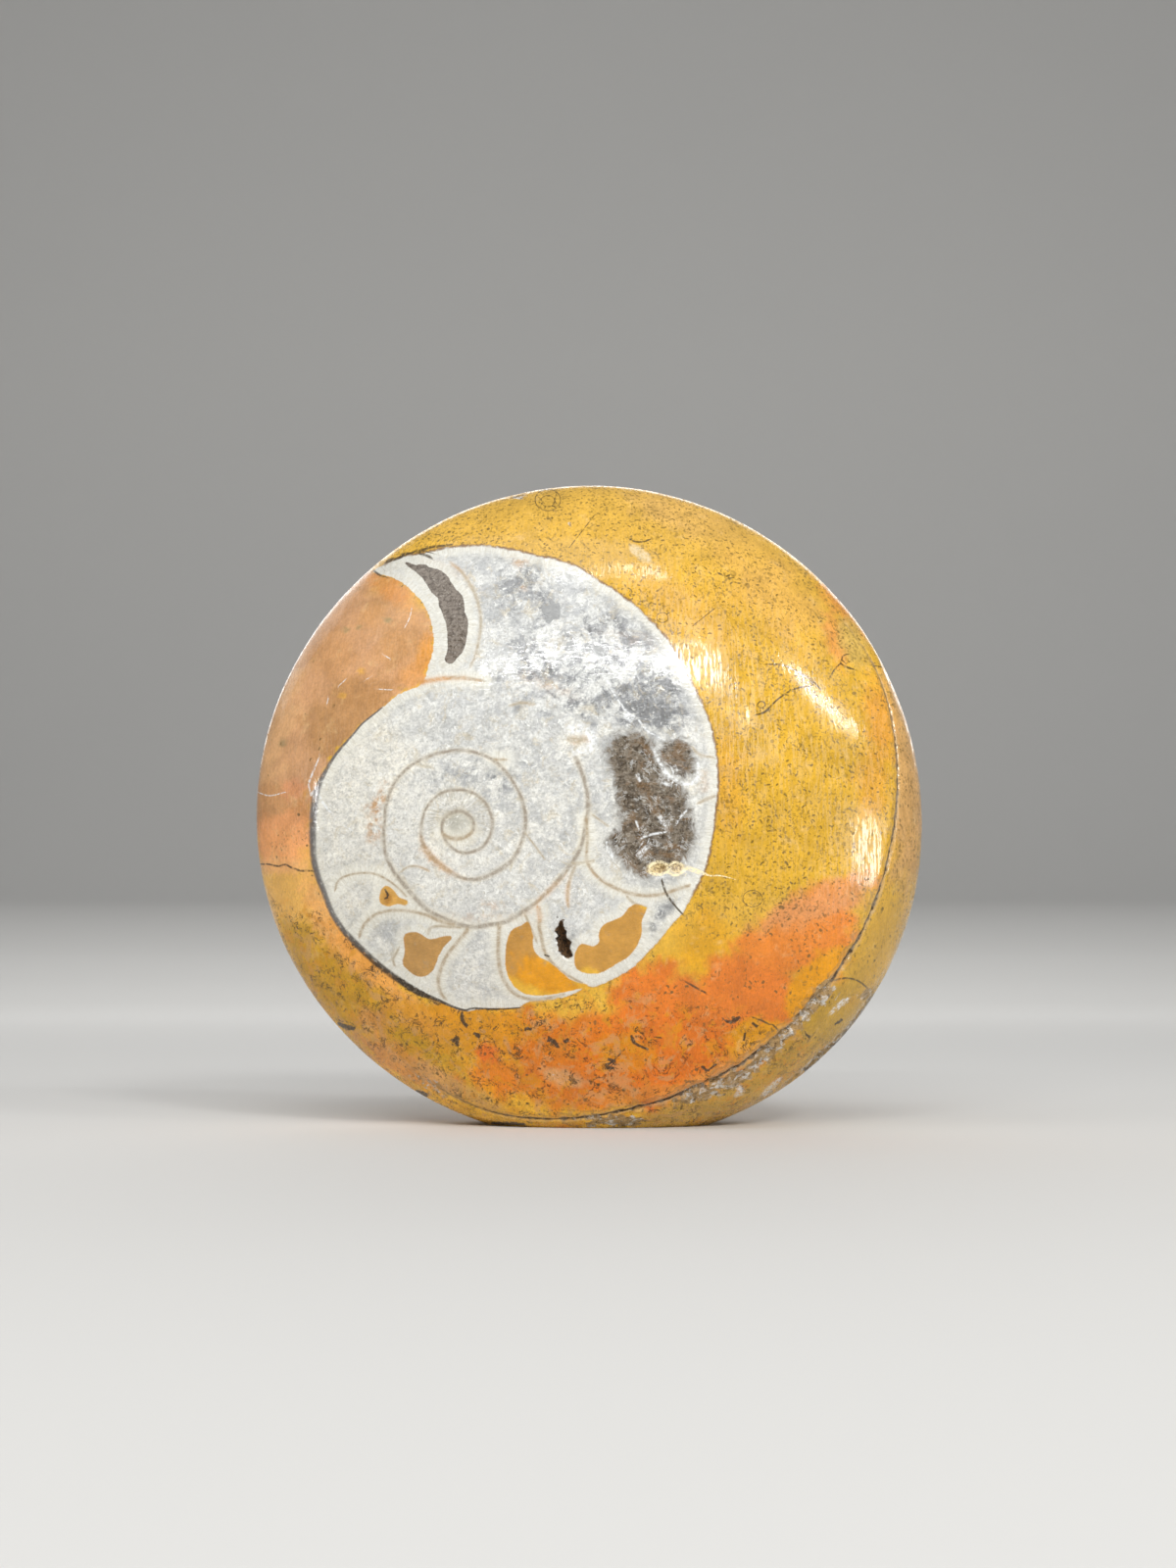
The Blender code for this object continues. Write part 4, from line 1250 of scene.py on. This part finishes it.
def crystal_patches(s, colour, spar):
    """Dark crystalline calcite: the sparry patch, single grey crystals, and the white veins and glints, one of
    them a painted highlight on the shell's left edge.
    """
    grey_crystal, vein_offset, vein_strength = s.stored("crystals")
    blur = s.sway(4.2, 1.7, 6, 0.76, 1.2, shift=8)
    spar_edge = s.add("add", spar, blur)
    colour = s.add("blend", s.add("step", spar_edge, -0.2, 1.2, 1.0, 0.0), colour, "94918b")
    colour = s.add("blend", s.add("step", spar_edge, -0.45, 0.35, 1.0, 0.0), colour, spar_look(s))
    colour = s.add(
        "blend", s.within(grey_crystal, 0.12, 0.05), colour, s.add("blend", s.crystals, "7f8080", "a9aaa8")
    )
    # White veins, and the painted highlight on the shell's left edge among them
    white_veins_and_glint = s.add(
        "multiply", s.add("step", s.add("absolute", vein_offset), 0.2, 1.4, 1.0, 0.0), vein_strength
    )
    torn = s.add("step", s.mottle(0.45, 4, 0.7, 0.6, shift=83), 0.40, 0.58, 0.05, 0.85)
    return s.add("blend", s.add("multiply", white_veins_and_glint, torn), colour, "eceeee")


def chamber_walls(s, colour):
    """Brown walls between the chambers and between the turns, each with a faint stain beside it."""
    worn = s.add("step", s.mottle(0.9, 5, 0.72, 1.0, shift=47), 0.34, 0.62, 0.28, 0.92)
    for name, tint, warm in (
        ("spiral", "94897a", "ab8f6c"), ("first_walls", "a8967c", "c98f50"),
        ("second_walls", "ada08a", "b59a78"),
    ):
        mask, warmth = line_mask(s, name)
        wide, _ = line_mask(s, name, 0.6, 4.0)
        colour = s.add(
            "blend", s.add("multiply", wide, 0.34), colour, s.add("blend", warmth, "cdc0a6", "d6a873")
        )
        colour = s.add("blend", s.add("multiply", mask, worn), colour, s.add("blend", warmth, tint, warm))
    return colour


def chamber_fillings(s, colour, fill, dark):
    """Sediment that fell into open chambers, even and without flecks, and the dark crescent chamber."""
    plain = s.add("stored", attribute_name="sediment_colour")["Color"]
    filled = s.add(
        "tint", 1.0, plain, s.add("step", s.mottle(1.6, 5, 0.68, shift=14), 0.30, 0.70, 0.86, 1.10)
    )
    filled = s.add("tint", 1.0, filled, s.add("step", s.grain, 0.28, 0.72, 0.92, 1.07))
    filled = s.add(
        "blend", s.add("step", s.mottle(2.0, 4, 0.7, shift=36), 0.60, 0.68, 0.0, 0.35), filled, "a39073"
    )
    colour = s.add("blend", s.within(fill, 0.45, 0.09), colour, filled)

    crescent = s.add("blend", s.add("step", s.crystals, 0.34, 0.62), "51473d", "857b70")
    crescent = s.add(
        "blend", s.add("step", s.mottle(0.3, 3, 0.6, shift=41), 0.62, 0.70, 0.0, 0.75), crescent, "b9b1a6"
    )
    return s.add("blend", s.within(dark, 0.55, 0.045), colour, crescent)


def cracks_and_spots(s, colour):
    """Dark line where the shell parts from the sediment, the cracks, ragged dark spots and a pale fossil."""
    mask, tone = line_mask(s, "margin", 0.5, 1.3)
    broken = s.add("step", s.mottle(0.6, 5, 0.72, shift=66), 0.30, 0.52, 0.55, 0.95)
    colour = s.add("blend", s.add("multiply", mask, broken), colour, s.add("blend", tone, "66625f", "3c3022"))
    cracks, _ = line_mask(s, "cracks", 0.4, 1.4)
    cracks = s.add("multiply", cracks, s.add("step", s.mottle(0.6, 4, 0.7, shift=19), 0.36, 0.52, 0.25, 0.92))
    colour = s.add("blend", cracks, colour, "463a26")

    offset, strength, _ = s.stored("blots")
    jagged = s.add("add", s.add("absolute", offset), s.sway(3.0, 0.45, 4, 0.75, shift=28))
    strength = s.add("step", s.add("add", strength, s.sway(1.2, 1.1, 4, 0.7, shift=97)), 0.35, 0.65)
    blots = s.add("multiply", s.add("step", jagged, 0.7, 1.3, 1.0, 0.0), strength)
    colour = s.add(
        "blend", s.add("multiply", blots, 0.92), colour,
        s.add("blend", s.add("step", s.grain, 0.5, 0.7), "33281a", "7d6e58"),
    )
    pale_fossil = s.stored("chip")[2]
    colour = s.add(
        "blend", s.add("multiply", pale_fossil, s.add("step", s.grain, 0.35, 0.6, 0.35, 0.85)), colour,
        "dccba6",
    )
    return colour


def open_seam(s, colour):
    """Open seam with worn pale lips, and stone broken out along it; also both shares and the crumbs."""
    gap, seam_strength, broken_out = s.stored("seam")
    wander = s.add("add", gap, s.sway(2.2, 0.9, 5, 0.7, shift=25))
    away = s.add("absolute", wander)
    lips = s.add("multiply", s.add("step", away, 1.0, 2.6, 1.0, 0.0), s.add("multiply", seam_strength, 0.55))
    colour = s.add("blend", lips, colour, "b99a6c")
    inner_lip = s.add(
        "multiply", s.add("step", s.add("absolute", s.add("add", wander, 2.8)), 0.25, 0.8, 1.0, 0.0),
        seam_strength,
    )
    colour = s.add("blend", s.add("multiply", inner_lip, 0.45), colour, "8d6f45")
    seam = s.add("multiply", s.add("step", away, 0.35, 1.0, 1.0, 0.0), seam_strength)
    seam_colour = s.add(
        "blend", s.add("step", s.mottle(0.8, 4, 0.7, shift=35), 0.42, 0.6), "33291d", "837766"
    )
    colour = s.add("blend", s.add("multiply", seam, 0.92), colour, seam_colour)
    crumbs = s.mottle(0.55, 5, 0.75, shift=52)
    rubble = s.add(
        "step", s.add("add", broken_out, s.add("multiply", s.add("subtract", crumbs, 0.5), 1.3)), 0.38, 0.62
    )
    rubble_tone = s.mottle(1.5, 5, 0.7, 1.0, shift=61)
    rubble_colour = s.add("blend", s.add("step", rubble_tone, 0.48, 0.61), "ab8d60", "dcdad4")
    rubble_colour = s.add("tint", 1.0, rubble_colour, s.add("step", crumbs, 0.3, 0.7, 0.78, 1.15))
    rubble_colour = s.add(
        "blend", s.add("step", s.mottle(0.8, 4, 0.7, shift=64), 0.56, 0.64, 0.0, 0.85), rubble_colour,
        "4a3a22",
    )
    colour = s.add("blend", s.add("multiply", rubble, 0.9), colour, rubble_colour)
    return colour, seam, rubble, crumbs


def hollow_and_chip(s, colour, hollow, pit):
    """Hollow with crystals inside, darkened by painted shade, and the chipped pit with its golden crystal
    rims, painted bright with the hair crack as a highlight.
    """
    # Painted shade: the hollow is painted near black over its brown crystals, for the shade inside it
    deep = s.add("blend", s.add("step", s.crystals, 0.4, 0.62), "1c130a", "6b4a25")
    in_hollow = s.add("step", s.add("add", hollow, s.ragged), -0.08, 0.04, 1.0, 0.0)
    colour = s.add("blend", in_hollow, colour, deep)
    golden = s.add("blend", s.add("step", s.mottle(0.3, 4, 0.7, shift=49), 0.40, 0.58), "8a6c3c", "e2c98f")
    colour = s.add("blend", s.add("multiply", pit, 0.8), colour, golden)
    # Painted highlight: the chip's rims and hair crack are painted near white, with a sparkle
    chip, _ = line_mask(s, "chip", 0.3, 1.4)
    painted_glitter = s.add("step", s.mottle(0.35, 4, 0.75, shift=74), 0.38, 0.54, 0.15, 1.0)
    colour = s.add("blend", s.add("multiply", chip, painted_glitter), colour, "f8e8bd")
    return colour, in_hollow


def polish_roughness(s, in_shell, fleck_mask, dull):
    """A glassy polish crossed by rubbed streaks, upright over the sediment and level over the calcite.

    The streaks are duller, so that a lamp's reflection tears into threads, and fewer in the best
    polished spot. Flecks take less polish, and broken stone none.
    """
    x, y, z = s.add("split", s.mm)
    upright = s.mottle(
        1.0, 3, 0.65, 0.5, vector=s.add("join", s.add("divide", x, 0.32), y, s.add("divide", z, 2.6))
    )
    level = s.mottle(
        1.0, 4, 0.70, 1.2, vector=s.add("join", s.add("divide", x, 1.7), y, s.add("divide", z, 0.55))
    )
    rubbed = s.add("either", in_shell, s.add("step", upright, 0.47, 0.54), s.add("step", level, 0.50, 0.46))
    rubbed = s.add("multiply", rubbed, s.add("step", s.stored("blots")[2], 0.0, 1.0, 1.0, 0.25))
    base_roughness = s.add(
        "add", s.add("step", s.mottle(9, 4, 0.6, shift=7), 0.35, 0.65, 0.07, 0.11),
        s.add("multiply", rubbed, 0.26),
    )
    base_roughness = s.add("add", base_roughness, s.add("multiply", fleck_mask, 0.1))
    return s.add("add", base_roughness, s.add("multiply", dull, 0.55), use_clamp=True)


def polished_limestone():
    """Fossil limestone, cut and polished by hand: glassy over mud and calcite, dull where it is broken."""
    s = Shading("polished_fossil_limestone")
    shell, fill, dark = s.stored("areas")
    spar, hollow, pit = s.stored("deep_areas")
    in_shell = s.within(shell, 1.0)

    colour, fleck_mask = sediment_look(s)
    colour = s.add("blend", in_shell, colour, calcite_look(s))
    colour = shell_skin(s, colour, shell)
    colour = crystal_patches(s, colour, spar)
    colour = chamber_walls(s, colour)
    colour = chamber_fillings(s, colour, fill, dark)
    colour = cracks_and_spots(s, colour)
    colour, seam, rubble, crumbs = open_seam(s, colour)
    colour, in_hollow = hollow_and_chip(s, colour, hollow, pit)

    sunk = s.add("maximum", in_hollow, s.add("multiply", pit, 0.5))
    dull = s.add("maximum", s.add("maximum", rubble, seam), sunk)
    s.fill(s.surface.inputs["Base Color"], colour)
    s.fill(s.surface.inputs["Roughness"], polish_roughness(s, in_shell, fleck_mask, dull))
    s.fill(s.surface.inputs["Normal"], rubbing_marks(s, dull, crumbs, in_shell))
    return s.material


def rubbing_marks(s, dull, crumbs, in_shell):
    """Faint waves and fine scratches left by hand polishing, and rough broken stone.

    The waves are about a millimetre wide, a few millimetres long and only just lean, so that a lamp's
    reflection tears into streaks. They run up and down over the sediment and level across the calcite.
    """
    x, y, z = s.add("split", s.mm)
    height = s.add("subtract", z, CENTRE_HEIGHT / MM)
    reach = s.add("sqrt", s.add("add", s.add("multiply", x, x), s.add("multiply", height, height)))
    reach = s.add("maximum", reach, 1.0)
    round_way = s.add(
        "join", s.add("multiply", s.add("divide", x, reach), 5.0),
        s.add("multiply", s.add("divide", height, reach), 5.0), s.add("divide", s.add("add", reach, y), 0.16),
    )
    round_marks = s.mottle(1.0, 2, 0.5, vector=round_way)
    upright = s.mottle(
        1.0, 2, 0.5, 0.3, vector=s.add("join", s.add("divide", x, 0.7), y, s.add("divide", height, 6.0))
    )
    level = s.mottle(
        1.0, 3, 0.6, 1.0, vector=s.add("join", s.add("divide", x, 2.6), y, s.add("divide", height, 0.9))
    )
    turn = s.add("either", in_shell, s.add("multiply", upright, 0.8), s.add("multiply", level, 1.1))
    both = s.add("add", s.add("multiply", round_marks, 0.08), turn)
    both = s.add("add", both, s.add("multiply", s.grain, 0.05))
    polish = s.add("bump", 1.0, WAVE_HEIGHT, both)
    return s.add("bump", dull, CRUMB_HEIGHT, crumbs, polish)


def pale(name, colour, roughness):
    """Matt paper: one even colour and no gloss."""
    material = bpy.data.materials.new(name)
    material.use_nodes = True
    shader = material.node_tree.nodes["Principled BSDF"]
    shader.inputs["Base Color"].default_value = (*linear(colour), 1.0)
    shader.inputs["Roughness"].default_value = roughness
    return material


def set_floor():
    """A pale sweep: flat under the stone, curving up into a wall behind it."""
    width, front, back, curve, height = 3.0, -1.5, 0.75, 0.45, 1.8
    turns = np.linspace(0, math.pi / 2, 13)
    bend = [(back + curve * math.sin(t), curve - curve * math.cos(t)) for t in turns]
    path = [(front, 0.0)] + bend + [(back + curve, height)]
    points = [(side * width, y, z) for y, z in path for side in (-1, 1)]
    faces = [(2 * i, 2 * i + 1, 2 * i + 3, 2 * i + 2) for i in range(len(path) - 1)]
    mesh = bpy.data.meshes.new("sweep")
    mesh.from_pydata(points, [], faces)
    mesh.polygons.foreach_set("use_smooth", np.ones(len(mesh.polygons), dtype=bool))
    mesh.materials.append(pale("pale_paper_sweep", "d0cfcc", 0.9))
    sweep = bpy.data.objects.new("sweep", mesh)
    bpy.context.scene.collection.objects.link(sweep)
    return sweep


def softbox(name, azimuth, elevation, width, height, radiance, distance=0.9, lean=0.0):
    """A lamp seen from the stone's middle at these angles, with its size in degrees.

    Azimuth 0 is the camera's side. Blender spreads a rectangle's watts so that radiance = watts / (4 x area).
    """
    side, lift = math.radians(azimuth), math.radians(elevation)
    away = Vector((math.sin(side) * math.cos(lift), -math.cos(side) * math.cos(lift), math.sin(lift)))
    middle = Vector((0.0, 0.0, CENTRE_HEIGHT))
    lamp = bpy.data.lights.new(name, "AREA")
    lamp.shape = "RECTANGLE"
    lamp.size, lamp.size_y = (2 * distance * math.tan(math.radians(angle) / 2) for angle in (width, height))
    lamp.energy = 4 * radiance * lamp.size * lamp.size_y
    holder = bpy.data.objects.new(name, lamp)
    holder.location = middle + distance * away
    aim = (-away).to_track_quat("-Z", "Y") @ Quaternion((0, 0, 1), math.radians(lean))
    holder.rotation_euler = aim.to_euler()
    holder.visible_camera = False
    bpy.context.scene.collection.objects.link(holder)


def set_camera():
    """The camera where the photograph was taken from."""
    eye, forward, right, up, _ = viewpoint()
    lens = bpy.data.cameras.new("camera")
    lens.lens = LENS_MM
    lens.sensor_width = SENSOR_MM
    lens.clip_start = 0.01
    camera = bpy.data.objects.new("camera", lens)
    rotation = Matrix((right, up, -forward)).transposed()
    camera.matrix_world = Matrix.Translation(eye) @ rotation.to_4x4()
    bpy.context.scene.collection.objects.link(camera)
    bpy.context.scene.camera = camera


def set_light():
    """A dim room, and soft lamps where the polished face mirrors them as the photograph shows."""
    world = bpy.data.worlds.new("studio")
    world.use_nodes = True
    background = world.node_tree.nodes["Background"].inputs
    background["Color"].default_value = (*linear("f2f3f5"), 1.0)
    background["Strength"].default_value = 0.21
    bpy.context.scene.world = world
    bpy.context.scene.view_settings.view_transform = "Standard"
    softbox("upper_window", 24, 32, 9, 10, 24)
    softbox("long_window", -3, 32, 40, 1.8, 44)
    softbox("top_window", 7, 57, 22, 3.5, 9)
    softbox("side_window", 55, 32.2, 12, 1.5, 46, lean=-37)
    softbox("low_side_window", 55, 7, 10, 12, 14)
    softbox("left_window", -68, 6, 4, 8, 18)
    softbox("soft_left", -40, 58, 50, 34, 1.0)
    softbox("soft_back", 180, 24, 60, 30, 1.5)
    softbox("soft_back_left", -130, 30, 30, 20, 0.7)


stone = build_stone()
stone.data.materials.append(polished_limestone())
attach(stone, "root")
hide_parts("fossil_stone")

sweep = set_floor()
set_camera()
set_light()
